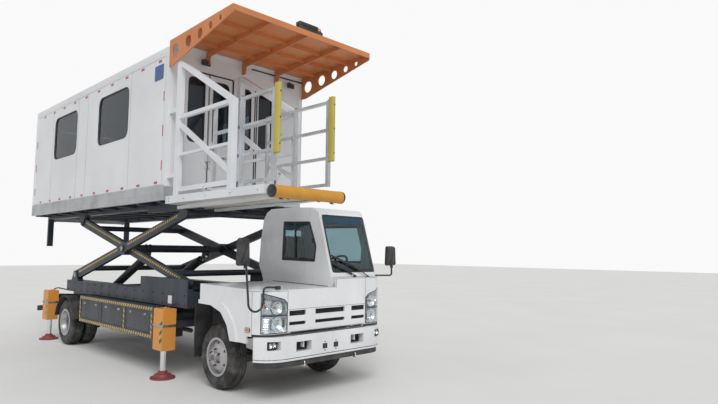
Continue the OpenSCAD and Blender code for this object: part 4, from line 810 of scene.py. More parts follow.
def lamp_grid(nu, nv, out, border=0.0):
    """A patch over the lamp's outline: its lower edge is level and its upper edge climbs
    towards the corner. border moves all four edges inwards."""
    u = np.linspace(LAMP_IN + border, LAMP_OUT - border, nu)
    y_at = nose(u, 0)[:, 1]
    top = np.interp(y_at, *zip(*LAMP_TOP)) - border
    v = np.linspace(0, 1, nv)[None]
    z = (LAMP_LOW_Z + border) * (1 - v) + top[:, None] * v
    return nose(u[:, None], z, out)


def edge_of(points):
    """The outer rows and columns of a patch of points, one after the other, as a loop."""
    return np.concatenate([points[:, 0], points[-1, 1:], points[-2::-1, -1], points[0, -2:0:-1]])


def shell(outer, inner):
    """A closed thin body between two patches of the same size."""
    edge = grid([edge_of(outer), edge_of(inner)], loop_v=True)
    return join(grid(outer), grid(inner), edge)


def patch(surface, ways, heights, out, back, nu=16, nv=6):
    """A closed panel between two corners of a skin, from out to back along its normal."""
    u, v = np.meshgrid(np.linspace(*ways, nu), np.linspace(*heights, nv), indexing="ij")
    return shell(surface(u, v, out), surface(u, v, back))


def bowl(centre, radius, depth, lip=0.006, thick=0.002):
    """A reflector that opens forwards: depth falls with the square of the radius."""
    r = np.linspace(0, radius, 12)
    front = np.stack([r, -depth * (1 - (r / radius) ** 2)], -1)
    back = np.stack([r[::-1] + thick, front[::-1, 1] - thick], -1)
    profile = np.concatenate([front, [(radius + lip, 0), (radius + lip, -0.004)], back[1:],
        [(0, -depth - thick)]])
    return revolve(profile, centre, 0, 36)


def add_headlamps():
    """A clear lens over a deep tray, with two bowls above and a projector below."""
    lens = shell(lamp_grid(*LAMP_CELLS, 0.0012), lamp_grid(*LAMP_CELLS, -0.0028))
    from_edge = [np.minimum(np.arange(n), n - 1 - np.arange(n)) for n in LAMP_CELLS]
    ease = np.clip(np.minimum(*np.meshgrid(*from_edge, indexing="ij")) / 2, 0, 1)
    tray = shell(lamp_grid(*LAMP_CELLS, -0.0032 - 0.052 * ease), lamp_grid(*LAMP_CELLS, -0.058))
    u = np.linspace(LAMP_IN + 0.002, LAMP_OUT - 0.002, 40)
    divider = sweep(nose(u, LAMP_SPLIT_Z, -0.012), ring(0.011, 10) * [1, 0.8], LAMP_UP)
    upper = [bowl((1.034, 0.782, 1.07), 0.068, 0.036), bowl((0.988, 0.902, 1.085), 0.034, 0.022)]
    lower = [bowl((1.034, 0.782, 0.886), 0.07, 0.038)]
    side_u = np.linspace(0.872, LAMP_OUT - 0.012, 14)
    ribs = [sweep(nose(side_u, z, -0.03), ring(0.5, 8) * [0.01, 0.008], LAMP_UP)
        for z in np.arange(0.82, 0.96, 0.018)]
    dome = revolve([(0, 0.0), (0.018, -0.001), (0.034, -0.006), (0.043, -0.016), (0.046, -0.024),
        (0.046, -0.03), (0, -0.03)], (1.043, 0.782, 0.886), 0, 32)
    bulb = revolve([(0, 0.026), (0.008, 0.024), (0.013, 0.014), (0.013, 0.002), (0.01, -0.006),
        (0, -0.006)], (1.012, 0.788, 1.072), 0, 24)
    turn_bulb = moved(bulb, (-0.04, 0.114, 0.013))
    parts = (("lens", lens, CLEAR), ("tray", tray, LAMP_TRAY), ("divider", divider, SEAL),
        ("bowls", join(*upper, *lower), CHROME), ("ribs", join(*ribs), CHROME),
        ("projector", dome, CLEAR), ("bulb", bulb, WARM_BULB), ("turn_bulb", turn_bulb, AMBER))
    for name, shape, finish in parts:
        piece = put("lamp_" + name, both(shape), finish)
        if name == "tray":
            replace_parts(piece, "headlamps")


LAMP_TRAY = paint("lamp_tray", (0.66, 0.68, 0.7), 0.2, metal=0.75, mottle=0.05, dust=0.0)
WARM_BULB = paint("warm_bulb", (0.9, 0.42, 0.14), 0.15, coat=0.6, mottle=0.04, dust=0.0)
add_headlamps()
print("lamps ready")

# %% Grille, seams and small fittings of the nose
GRILLE_Y = ((-0.62, -0.37), (-0.22, 0.27), (0.39, 0.63))
GRILLE_Z = ((0.97, 1.03), (0.862, 0.902))
NOSE_SEAM, WING_SEAM, CAB_INNER_Y = 0.646, 1.106, 0.127


def add_grille():
    """A black tray behind each slot, with two slanted vanes in it."""
    section = softened([(-0.01, -0.002), (-0.01, 0.001), (0.01, 0.006), (0.01, 0.003)], 0.0015, 3)
    trays, vanes = [], []
    for y0, y1 in GRILLE_Y:
        for z0, z1 in GRILLE_Z:
            edge = rounded((y0 - 0.012, z0 - 0.012), (y1 + 0.012, z1 + 0.012), 0.008, 4)
            trays.append(plate(edge, "yz", 1.018, 1.026))
            vanes += [sweep([[1.04, y0 - 0.004, z - 0.002], [1.04, y1 + 0.004, z - 0.002]], section)
                for z in np.linspace(z0, z1, 4)[1:-1]]
    put("grille_trays", join(*trays), MESH_BLACK)
    put("grille_vanes", join(*vanes), PLASTIC)


def add_nose_seams():
    """The lid over the engine, the joints of the wings and of the cab, a rubber line round each
    headlamp and a strip below it."""
    low, mid, deck, high, end = 0.789, 1.045, 1.262, 1.381, 1.18
    inner, cab = NOSE_SEAM, CAB_INNER_Y
    lines = [seam(ways, heights) for ways, heights in (((-inner, -inner), (low, deck)),
        ((inner, inner), (low, high)), ((-inner, inner), (mid, mid)), ((-inner, inner), (low, low)),
        ((cab, end), (high, high)), ((-end, -inner), (deck, deck)), ((cab, cab), (deck, high)))]
    rim = edge_of(lamp_grid(*LAMP_CELLS, 0.0006, -0.006))
    lines.append(both(seam((WING_SEAM, WING_SEAM), (0.7, 1.25)),
        sweep(rim, ring(0.0038, 8), (1, 0.3, 0.05), closed=True),
        patch(nose, (0.602, 1.1), (0.7515, 0.778), 0.0012, -0.004, 24, 3)))
    put("nose_seams", join(*lines), SEAL)


TOW_HOLES_Y, FOG_AT = (-0.11, 0.07), (1.052, 0.85, 0.6525)


def add_bumper_fittings():
    """Square fog lamps in the outer slots, dark grids in the inner ones, two hooks below, the
    towing pockets with their rims and bolts, a dark strip of painted shade on top and a groove
    round it."""
    x, y, z = FOG_AT
    outline = rounded((y - 0.05, z - 0.036), (y + 0.05, z + 0.036), 0.012)
    put("fog_glass", both(plate(outline, "yz", x + 0.006, x + 0.015, 0.005)), CLEAR)
    bowls = [bowl((x, y + dy, z), 0.024, 0.016, 0.001) for dy in (-0.025, 0.025)]
    put("fog_bowls", both(*bowls), CHROME)
    collar = bead(inset(outline, -0.008), inset(outline, 0.002), "yz", x - 0.03, x + 0.015)
    slots = (((0.315, 0.565), (0.555, 0.686)), ((0.745, 0.96), (0.595, 0.71)))
    backs = [patch(slot_back, ways, heights, -0.001, -0.009) for ways, heights in slots]
    bars = [sweep(slot_back(np.linspace(0.33, 0.55, 8), at, 0.004), ring(0.004, 8), (1, 0, 0.1))
        for at in np.linspace(0.58, 0.662, 6)]
    put("fog_collars", both(collar, *backs, *bars), MESH_BLACK)
    hook = [(1.06, 0.44), (1.112, 0.44), (1.112, 0.385), (1.075, 0.385), (1.075, 0.41)]
    hooks = [tube([(x, y, z) for x, z in hook], 0.0075, 0.018, (0, 1, 0)) for y in (-0.42, 0.42)]
    put("tow_hooks", join(*hooks), CHROME)
    front = BUMPER_FRONT
    bolts = [(front - 0.0015, y, z) for y in TOW_HOLES_Y for z in (0.538, 0.634)]
    put("bumper_bolts", studs(bolts, 0.009, 0.006, 0, 12, 0.5), SEAL)
    # A dark strip over the bumper's top: painted shade where the top lies in shade.
    put("bumper_top_painted_shade", boxes((1.063, -0.61, 0.7492), (1.108, 0.61, 0.752), 0.001), SEAL)
    pockets = [boxes((front - 0.036, y - 0.015, 0.57), (front - 0.006, y + 0.015, 0.6), 0.002)
        for y in TOW_HOLES_Y]
    rims = [boxes((front - 0.008, y - 0.04, 0.553), (front + 0.001, y + 0.04, 0.619))
        for y in TOW_HOLES_Y]
    put("towing_pockets", join(*pockets, *rims), SEAL)
    reach = CAB_SIDE - BUMPER_R + BUMPER_R * math.pi / 2 + 0.11
    lip = skin(front, CAB_SIDE, BUMPER_R, np.linspace(-reach, reach, 40), 0.497, 0.0)
    put("bumper_groove", sweep(lip, ring(0.0035, 8), (0.02, 0.01, 1)), SEAL)


def add_side_repeaters():
    """A small lamp on each front wing: a clear lens over an amber core, in a black rim."""
    outline = rounded((0.76, 0.795), (0.852, 0.842), 0.016, 6)
    lamp = plate(outline, "xz", 1.0195, 1.034, 0.005)
    rim = bead(inset(outline, -0.005), outline, "xz", 1.0195, 1.026)
    put("repeaters", both(lamp), CLEAR)
    glow = plate(inset(outline, 0.012), "xz", 1.019, 1.0215, 0.0008)
    put("repeater_glow", both(glow), AMBER)
    put("repeater_rims", both(rim), SEAL)


MESH_BLACK = rubber("vent_black", (0.012, 0.012, 0.013), 0.6, 180.0, 0.15)
add_grille()
add_nose_seams()
add_bumper_fittings()
add_side_repeaters()
print("nose ready")

# %% [markdown]
# ## Glass, wipers and mirrors of the cab
#
# The windscreen leans, so its rubber, its dark band and its wipers are drawn flat and then
# laid on a leaning plane: `screen` turns (y, way up the glass, height above it) into a place.

# %% The windscreen's plane
SCREEN_FOOT, SCREEN_HEAD = np.array([0.955, 1.391]), np.array([0.69, 2.24])
SCREEN_UP = (SCREEN_HEAD - SCREEN_FOOT) / np.linalg.norm(SCREEN_HEAD - SCREEN_FOOT)
SCREEN_OUT = np.array([SCREEN_UP[1], -SCREEN_UP[0]])


def screen(flat, height):
    """(x, z) = foot + up * way + outwards * height on the flat part. Past it the glass turns
    round the pillar, and height and y then follow a circle of the pillar's radius."""
    out = np.broadcast_to(height, flat.shape[:-1])
    bent = skin(0.0, CAB_SIDE, PILLAR_R, flat[..., 0], 0.0, out)
    xz = SCREEN_FOOT + flat[..., 1:2] * SCREEN_UP + bent[..., :1] * SCREEN_OUT
    return xyz(xz[..., 0], bent[..., 1], xz[..., 1])


def on_glass(way, up, out=0.0):
    """A point on the windscreen from the way across, the way up and the height above it."""
    way, up = np.broadcast_arrays(way, up)
    return screen(np.stack([way, up], -1), out)


def dense(outline, longest=0.03):
    """The closed outline with its long sides cut up, so that it can bend."""
    after = np.roll(outline, -1, 0)
    counts = np.maximum(np.ceil(np.linalg.norm(after - outline, axis=1) / longest).astype(int), 1)
    start = np.repeat(outline, counts, 0)
    step = np.arange(counts.sum()) - np.repeat(np.cumsum(counts) - counts, counts)
    return start + np.repeat((after - outline) / counts[:, None], counts, 0) * step[:, None]


def way_at(z):
    """The way up the glass where it reaches the height z."""
    return (z - SCREEN_FOOT[1]) / SCREEN_UP[1]


SCREEN_END = CAB_SIDE - PILLAR_R + PILLAR_R * math.asin(0.075 / PILLAR_R)
SCREEN_LOW, SCREEN_HIGH = way_at(1.455), way_at(2.205)
SCREEN_CORNERS = rectangle((0.172, SCREEN_LOW), (SCREEN_END, SCREEN_HIGH))


def add_screen_trim():
    """Rubber round the glass, a dark blue band along its top and black enamel at its edges."""
    wide = dense(softened(inset(SCREEN_CORNERS, -0.016), 0.07, 8))
    put("screen_rubber", bead(wide, inset(wide, 0.028), screen, -0.012, 0.006), SEAL)
    lay = lambda ways, heights, out, nu, nv: patch(on_glass, ways, heights, out, -0.0048, nu, nv)
    start, end, low, high = 0.176, SCREEN_END - 0.003, SCREEN_LOW + 0.04, SCREEN_HIGH - 0.1
    put("screen_band", lay((start, end), (high - 0.01, SCREEN_HIGH - 0.004), -0.003, 40, 3),
        BAND_BLUE)
    foot = lay((start, end), (SCREEN_LOW + 0.002, SCREEN_LOW + 0.042), -0.0026, 40, 3)
    outer = lay((SCREEN_END - 0.062, end), (low, high), -0.0028, 10, 8)
    put("screen_enamel", join(foot, outer, lay((start, 0.196), (low, high), -0.0028, 3, 8)),
        GLOSS_BLACK)


# Each wiper: its pivot, its arm's end, and the two ends of its blade, as (y, way up the glass)
WIPERS = np.array([((0.793, -0.008), (0.4, 0.205), (0.64, 0.092), (0.19, 0.292)),
    ((0.544, 0.006), (0.33, 0.112), (0.5, 0.04), (0.19, 0.178))])
ARM_WAY, ARM_RISE = np.array([[0, 0.2, 0.6, 1]]).T, np.array([0.024, 0.034, 0.03, 0.02])


def add_wipers():
    """Each wiper: a cap on its pivot, a tapered arm, a curved frame and a rubber blade."""
    arms, blades, caps = [], [], []
    up = (SCREEN_OUT[0], 0, SCREEN_OUT[1])
    t = np.linspace(0, 1, 21)[:, None]
    for pivot, tip, first, last in WIPERS:
        arm = screen(pivot * (1 - ARM_WAY) + tip * ARM_WAY, ARM_RISE)
        arms.append(sweep(softened(arm, 0.03, 5, False), ring(0.5, 8) * [0.016, 0.009], up))
        line = first * (1 - t) + last * t
        frame_line = screen(line, 0.01 + 0.008 * np.sin(math.pi * t[:, 0]))
        blades.append(sweep(frame_line, ring(0.5, 8) * [0.028, 0.014], up))
        blades.append(sweep(screen(line, 0.004), ring(0.5, 6) * [0.005, 0.013], up))
        foot = screen(pivot, 0.0) + [-0.004, 0, 0.002]
        caps.append(revolve([(0, 0.034), (0.01, 0.033), (0.018, 0.028), (0.02, 0), (0, 0)], foot, 0,
            24))
    put("wiper_arms", join(*arms), GLOSS_BLACK)
    put("wiper_blades", join(*blades), SEAL)
    put("wiper_caps", join(*caps), SEAL)


def add_cowl():
    """The white strip between the windscreen and the front panel."""
    put("cowl", patch(on_glass, (0.15, 0.96), (0.004, 0.034), 0.006, -0.001, 40, 4), WHITE)


BAND_BLUE = paint("band_blue", (0.004, 0.045, 0.075), 0.22, coat=0.25, mottle=0.05, dust=0.0)
add_screen_trim()
add_wipers()
add_cowl()
print("windscreen ready")

# %% Side window, rear window and door
SIDE_WINDOW = np.array([(-0.066, 1.605), (-0.04, 2.13), (0.52, 2.11), (0.65, 1.79),
    (0.637, 1.597)])[::-1]
DOOR_WINDOW = np.array([(-0.255, 1.56), (0.65, 1.56), (0.65, 1.77), (0.56, 2.09), (-0.255, 2.105)])
DOOR_EDGE = np.array([(-0.327, 1.093), (-0.327, 2.187), (0.598, 2.167), (0.717, 1.789),
    (0.717, 0.678), (0.493, 0.678), (0.407, 0.853), (0.266, 0.994), (0.034, 1.062), (-0.2, 1.093)])


def add_window_rubbers():
    """A black bead round each opening, on the outer face of its wall."""
    for name, outline, face, out, body in (("side", SIDE_WINDOW, CAB_INNER_Y, -1, "root"),
            ("door", DOOR_WINDOW, CAB_SIDE, 1, "cab_door")):
        wide = softened(inset(outline, -0.022), 0.03, 8)
        shape = bead(wide, inset(wide, 0.05), "xz", face - out * 0.012, face + out * 0.006)
        put(name + "_window_rubber", shape, SEAL, body)
    rear = rectangle((0.3, 1.6), (0.88, 2.05))
    lean = lambda flat, height: xyz((flat[..., 1] - 1.516) * 0.098 - 0.61 - height, flat[..., 0],
        flat[..., 1])
    wide, narrow = softened(inset(rear, -0.018), 0.05, 7), softened(inset(rear, 0.01), 0.04, 7)
    put("rear_window_rubber", bead(wide, narrow, lean, -0.01, 0.005), SEAL)


def add_window_bars():
    """The upright bar of the sliding side window, with its catch, and the door's glass."""
    bar = boxes((0.2, CAB_INNER_Y - 0.004, 1.602), (0.226, CAB_INNER_Y + 0.014, 2.122), 0.003)
    catch = boxes((0.575, CAB_INNER_Y - 0.012, 1.83), (0.612, CAB_INNER_Y - 0.001, 1.9), 0.004)
    put("side_window_bar", join(bar, catch), SEAL)
    pane = plate(softened(inset(DOOR_WINDOW, -0.004), 0.045, 8), "xz", CAB_SIDE - 0.016,
        CAB_SIDE - 0.011, 0.001)
    put("door_glass", pane, CAB_GLASS, "cab_door")


def add_door_trim():
    """The gap round the door, its pull handle and its lock."""
    line = softened(DOOR_EDGE, 0.03, 5)
    path = xyz(line[:, 0], CAB_SIDE - 0.001, line[:, 1])
    put("door_gap", sweep(path, ring(0.0028, 8), up=(0, 1, 0), closed=True), SEAL, "cab_door")
    handle = tube([(-0.225, CAB_SIDE - 0.008, 1.466), (-0.225, CAB_SIDE + 0.02, 1.466),
        (-0.095, CAB_SIDE + 0.02, 1.466), (-0.095, CAB_SIDE - 0.008, 1.466)], 0.008, 0.02)
    lock = revolve([(0, 0.004), (0.008, 0.0035), (0.011, 0.0), (0.011, -0.004), (0, -0.004)],
        (-0.055, CAB_SIDE, 1.466), 1, 20)
    put("door_handle", join(handle, lock), GLOSS_BLACK, "cab_door")


def add_wall_foot():
    """The sealed joint where the half cab's inner wall stands on the deck."""
    x = np.linspace(-0.255, 0.9, 24)
    z = 1.3 - 0.026 * (x + 0.26) / 1.32
    path = xyz(x, CAB_INNER_Y - 0.001, z + 0.002)
    put("deck_joint", sweep(path, ring(0.004, 8)), SEAL)


add_window_rubbers()
add_window_bars()
add_door_trim()
add_wall_foot()
print("side windows and door ready")

# %% Mirrors
MIRROR_TUBE_R = 0.0125
# The right tube: from its clamp on the deck's front edge, out, down, round and up
RIGHT_X, BEND_Y, BEND_Z, BEND_R = 1.056, 1.093, 1.149, 0.098
# Its head stands outside the platform, which comes down beside it
RIGHT_HEAD = ((1.03, 1.183, 1.556), (1.092, 1.353, 1.862))
LEFT_HEAD = ((0.94, 1.154, 1.532), (1.01, 1.354, 1.806))
LEFT_FOOT, LEFT_END = (0.805, 1.042, 1.396), (0.975, 1.264)


def mirror_head(low, high):
    """Domed ahead: each ring of the outline shrinks by 1 - sqrt(1 - d^2) as it goes forward.
    Behind, a lip stands round the glass."""
    outline = np.array([(low[1], low[2]), (high[1], low[2]), (high[1] - 0.014, high[2]),
        (low[1] + 0.014, high[2])])
    outline, at = softened(outline, 0.04, 9), place_on("yz")
    d = np.linspace(0, 0.96, 9)
    rows = [(0.01, 0.1), (0.006, 0.0), (0.0, 0.03)]
    rows += list(zip(0.052 * (1 - np.sqrt(1 - d ** 2)), 0.16 + 0.8 * d))
    depth = high[0] - low[0]
    head = grid([at(inset(outline, i), low[0] + f * depth) for i, f in rows], loop_v=True,
        cap_u=True)
    return head, plate(inset(outline, 0.008), "yz", low[0] + 0.003, low[0] + 0.0078, 0.001)


def mirror_arm(points, foot):
    """The tube along its path, the boss or clamp at its foot and a collar under the head."""
    collar = revolve([(0, 0.016), (0.019, 0.016), (0.021, 0.01), (0.021, -0.01), (0.019, -0.016),
        (0, -0.016)], points[-1] - [0, 0, 0.11], 2, 24)
    return join(sweep(points, ring(MIRROR_TUBE_R, 14), (0.9, 0.3, 0.01)), foot, collar)


def add_mirrors():
    """The right tube hangs in a half circle beside the wing, and the left one is an L."""
    a = np.linspace(math.pi, 2 * math.pi, 21)
    bend = xyz(RIGHT_X, BEND_Y + BEND_R * np.cos(a), BEND_Z + BEND_R * np.sin(a))
    start = np.array([RIGHT_X, 0.794, 1.306])
    elbow = softened([start, (RIGHT_X, 0.985, 1.314), (RIGHT_X, BEND_Y - BEND_R, 1.24)], 0.06, 8,
        False)
    right = np.concatenate([elbow, bend, [(RIGHT_X, 1.24, RIGHT_HEAD[0][2] + 0.095)]])
    left = softened([LEFT_FOOT, (*LEFT_END, LEFT_FOOT[2]), (*LEFT_END, LEFT_HEAD[0][2] + 0.095)],
        0.035, 8, False)
    clamp = boxes(start - [0.022, 0.03, 0.024], start + [0.022, 0.03, 0.016], 0.005)
    boss = revolve([(0, 0.012), (0.012, 0.012), (0.024, 0.004), (0.027, -0.01), (0.027, -0.022),
        (0, -0.022)], LEFT_FOOT, 1, 28)
    tubes = join(mirrored(mirror_arm(right, clamp)), mirror_arm(left, boss))
    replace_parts(put("mirror_tubes", tubes, GLOSS_BLACK), "mirrors")
    right_head, right_glass = mirror_head(*RIGHT_HEAD)
    left_head, left_glass = mirror_head(*LEFT_HEAD)
    put("mirror_heads", join(mirrored(right_head), left_head), PLASTIC)
    put("mirror_glass", join(mirrored(right_glass), left_glass), MIRROR)


MIRROR = metal("mirror_face", (0.9, 0.91, 0.92), 0.03, grain=0.01, stain=0.03)
add_mirrors()
print("mirrors ready")

# %% [markdown]
# ## The van body
#
# The van is a plain white box, so its life is in the small things: rubber round the
# windows, extruded rails along its foot and its roof, rows of rivets and red reflectors,
# and the seals and handles of the two glazed doors in its front wall.

# %% Window rubbers, rails and rivets of the van
SIDE_PANES = ((-3.45, 3.45), (-5.63, 3.45))
PANE_SIZE = (1.17, 0.8)
FRONT_PANES = ((-0.05, 0.23), (0.33, 0.24))
LEAF_PANES = ((-0.88, 0.26), (-0.48, 0.26))
PANE_Z = (3.27, 4.21)
VAN_FOOT, RIVET_PITCH, PANEL_JOINTS = 2.59, 0.08, (-2.2, -3.95, -4.4, -5.75)


def pane_line(low, size, grow, radius, steps):
    """A pane's rounded outline, larger by grow on each side."""
    return rounded(np.subtract(low, grow), np.add(low, size) + grow, radius, steps)


def add_van_rubbers():
    """A bead round each window of the van and of its door leaves, and the leaves' glass."""
    sides = [pane_line(low, PANE_SIZE, 0.016, 0.165, 10) for low in SIDE_PANES]
    beads = [both(bead(w, inset(w, 0.03), "xz", VAN_SIDE - 0.018, VAN_SIDE + 0.005)) for w in sides]
    height, leaf_face = PANE_Z[1] - PANE_Z[0], VAN_FRONT - 0.006
    for body, panes, face in (("van", FRONT_PANES, VAN_FRONT),
            ("door_leaf_right", LEAF_PANES[:1], leaf_face), ("door_leaf_left", LEAF_PANES[1:],
            leaf_face)):
        lines = [pane_line((y, PANE_Z[0]), (width, height), 0.014, 0.095, 9) for y, width in panes]
        shapes = [bead(w, inset(w, 0.026), "yz", face - 0.014, face + 0.005) for w in lines]
        put(f"pane_rubber_{body}", join(*shapes), SEAL, body)
    put("side_pane_rubbers", join(*beads), SEAL, "van")
    for side, (y, width) in zip(("right", "left"), LEAF_PANES):
        line = pane_line((y, PANE_Z[0]), (width, height), -0.002, 0.085, 9)
        pane = plate(line, "yz", VAN_FRONT - 0.03, VAN_FRONT - 0.025, 0.001)
        put(f"leaf_glass_{side}", pane, VAN_GLASS, f"door_leaf_{side}")


def add_van_rails():
    """Extrusions with their own sections: a roof rail, a foot rail with two ribs, corner posts."""
    length = np.array([VAN_REAR + 0.004, VAN_FRONT - 0.004])
    roof = np.array([(-0.002, -0.045), (0.007, -0.045), (0.007, -0.012), (0.004, -0.008),
        (0.007, -0.004), (0.007, 0.036), (0.002, 0.043), (-0.002, 0.043)])
    foot = np.array([(-0.002, 0.0), (0.0085, 0.0), (0.0085, 0.02), (0.005, 0.024), (0.005, 0.03),
        (0.0035, 0.034), (-0.002, 0.034)])
    put("roof_rails", both(sweep(xyz(length, -VAN_SIDE, 4.49), roof)), VAN_WHITE, "van")
    put("foot_rails", both(sweep(xyz(length, -VAN_SIDE, VAN_FOOT), foot)), ALUMINIUM, "van")
    ribs = [sweep(xyz(length, -VAN_SIDE - 0.008, z), ring(0.0035, 8))
        for z in (2.425, 2.452, 2.515, 2.56)]
    put("sill_ribs", both(*ribs), ALUMINIUM, "van")
    out, back = np.array([(-0.002, -0.004), (0.006, -0.004), (0.006, 0.088), (0.003, 0.094),
        (-0.002, 0.094)]).T
    posts = []
    for x, sign in ((VAN_FRONT, 1), (VAN_REAR, -1)):
        section = lambda z: xyz(x - sign * (back + 0.002), -VAN_SIDE - out, z)
        posts.append(grid([section(VAN_FOOT), section(VAN_TOP - 0.03)], loop_v=True, cap_u=True))
    put("corner_posts", both(*posts), VAN_WHITE, "van")


def add_van_rivets():
    """Rivets follow the rails and the posts, one every 80 mm, and dark lines mark the joints
    between the side's panels."""
    x = np.arange(VAN_REAR + 0.06, VAN_FRONT - 0.1, RIVET_PITCH)
    z = np.arange(VAN_FOOT + 0.06, 4.43, RIVET_PITCH)
    rows = [xyz(x, -VAN_SIDE - out, at) for at, out in ((4.472, 0.0065), (2.612, 0.0045),
        (2.48, 0.0075))]
    rows += [xyz(at, -VAN_SIDE - 0.0055, z) for at in (VAN_FRONT - 0.07, VAN_REAR + 0.07)]
    rivets = studs(np.concatenate(rows), 0.0055, -0.0025, 1, 8, 0.6)
    put("van_rivets", both(rivets), VAN_WHITE, "van")
    y = -VAN_SIDE - 0.0003
    joints = [sweep([[at, y, VAN_FOOT + 0.03], [at, y, 4.446]], ring(0.0012, 6), (1, 0, 0))
        for at in PANEL_JOINTS]
    put("panel_joints", both(*joints), SEAL, "van")


def add_reflectors():
    """Red blocks in a row along the foot and the roof, three upright ones near each corner
    post, and the plain blue panel of the photograph, left blank."""
    x = np.arange(VAN_FRONT - 0.264, VAN_REAR + 0.1, -0.559)
    blocks = [(at, 0.046, z) for z in ((2.64, 2.675), (4.385, 4.42)) for at in x]
    blocks += [(at, 0.011, z) for z in ((2.82, 2.96), (3.3, 3.46), (3.8, 3.94))
        for at in (VAN_FRONT - 0.108, VAN_REAR + 0.108)]
    lows = [(at - half, -VAN_SIDE - 0.006, z[0]) for at, half, z in blocks]
    highs = [(at + half, -VAN_SIDE + 0.002, z[1]) for at, half, z in blocks]
    put("reflectors", both(boxes(lows, highs)), RED, "van")
    line = rounded((-1.42, 4.13), (-1.15, 4.35), 0.03, 6)
    put("blank_panel", plate(line, "xz", -VAN_SIDE - 0.003, -VAN_SIDE + 0.001, 0.001), BLUE, "van")


add_van_rubbers()
add_van_rails()
add_van_rivets()
add_reflectors()
print("van sides ready")

# %% Front wall of the van: seals, handles, gutter and floodlights
LEAF_JOINTS = (-0.95, -0.55, -0.15)


def add_front_wall():
    """Black seals stand at the doors' joints and beside the fixed panes, a gutter hangs above
    them, and each leaf has a pull handle, a lock's rose and a rubber edge."""
    x, middle = VAN_FRONT, LEAF_JOINTS[1]
    seals = ((LEAF_JOINTS[0], 0.011), (LEAF_JOINTS[2], 0.011), (0.255, 0.01), (0.29, 0.01),
        (0.675, 0.013))
    lows = [(x - 0.012, y - w, 2.6) for y, w in seals]
    highs = [(x + 0.007, y + w, 4.296) for y, w in seals]
    lows += [(x - 0.012, LEAF_JOINTS[0], 4.29), (x - 0.002, 0.17, 4.545)]
    highs += [(x + 0.007, LEAF_JOINTS[2], 4.31), (x + 0.02, 1.18, 4.562)]
    put("wall_seals", boxes(lows, highs, 0.004), SEAL, "van")
    frames = (((-0.985, 2.595), (-0.962, 4.33)), ((-0.138, 2.595), (-0.106, 4.33)),
        ((-0.985, 4.312), (-0.106, 4.34)), ((0.7, 2.595), (0.716, 4.34)),
        ((-0.106, 4.328), (0.716, 4.34)), ((-1.19, 2.595), (-1.112, 4.56)),
        ((1.112, 2.595), (1.19, 4.53)))
    lows, highs = [(x - 0.001, *a) for a, _ in frames], [(x + 0.006, *b) for _, b in frames]
    put("wall_frames", boxes(lows, highs, 0.002), VAN_WHITE, "van")
    rivets = [(x + 0.0055, y, z) for y in (-1.15, 1.15) for z in np.arange(2.65, 4.25, 0.1)]
    put("wall_rivets", studs(rivets, 0.0055, 0.0025, 0, 8, 0.6), VAN_WHITE, "van")
    for side, sign in SIDES:
        y, edge_y = middle + sign * 0.03, middle + sign * 0.0085
        pull = tube([(x - 0.006, y, 3.0), (x + 0.04, y, 3.0), (x + 0.04, y, 3.21),
            (x - 0.006, y, 3.21)], 0.009, 0.03, (0, 1, 0))
        foot = revolve([(0, 0.008), (0.014, 0.008), (0.018, 0.003), (0.018, -0.002), (0, -0.002)],
            (x - 0.006, y, 3.0), 0, 20)
        rose = plate(rounded((y - 0.018, 2.89), (y + 0.018, 2.96), 0.012), "yz", x - 0.007,
            x + 0.006)
        handle = join(pull, foot, moved(foot, (0, 0, 0.21)), rose)
        put(f"handle_door_leaf_{side}", handle, CHROME, f"door_leaf_{side}")
        edge = boxes((x - 0.03, edge_y - 0.004, 2.6), (x - 0.004, edge_y + 0.004, 4.29), 0.002)
        put(f"edge_door_leaf_{side}", edge, SEAL, f"door_leaf_{side}")


def add_hooks():
    """Two short chains hang from their hooks towards the door post: each link is a ring turned
    by 90 degrees against the one before."""
    links, hooks = [], []
    x, y, t = VAN_FRONT, 0.76, np.linspace(0, 1, 11)
    sag, flat = np.sin(math.pi * t), ring(1.0, 14) * [0.011, 0.006]
    along, ahead = np.array([0, -0.76, -0.65]), np.array([1.0, 0, 0])
    for z in (3.6, 2.96):
        path = xyz(x + 0.03 + 0.012 * sag, y - 0.13 * t, z - 0.11 * t - 0.02 * sag)
        for n, at in enumerate(path):
            loop = at + flat[:, :1] * along + flat[:, 1:] * (ahead if n % 2
                else np.cross(along, ahead))
            links.append(sweep(loop, ring(0.0017, 6), (0.3, 0.5, 0.8), closed=True))
        hooks.append(revolve([(0, 0.01), (0.016, 0.01), (0.02, 0.004), (0.02, -0.002), (0, -0.002)],
            (x, y, z + 0.01), 0, 20))
        hooks.append(tube([(x, y, z + 0.01), (x + 0.034, y, z + 0.01), (x + 0.03, y, z - 0.004)],
            0.005, 0.012, (0, 1, 0)))
    put("gate_chains", join(*links), CHROME, "van")
    put("gate_hooks", join(*hooks), ZINC, "van")


def add_canopy_flange():
    """A folded flange closes the gap between the wall's top and the canopy, bolted to both."""
    x = VAN_FRONT
    section = softened([(x - 0.004, 4.56), (x + 0.004, 4.56), (x + 0.004, 4.618),
        (x + 0.034, 4.619), (x + 0.034, 4.6255), (x - 0.004, 4.6255)], 0.002, 3)
    rows = [place_on("xz")(section, y) for y in (-1.178, 1.178)]
    bolts = [(x + 0.0035, y, 4.588) for y in np.arange(-1.14, 1.15, 0.152)]
    put("canopy_flange", join(grid(rows, loop_v=True, cap_u=True),
        studs(bolts, 0.007, 0.005, 0, 6)), VAN_WHITE, "van")


FLOODS_Y, FLOOD_Z = (-0.66, 0.9), 4.435


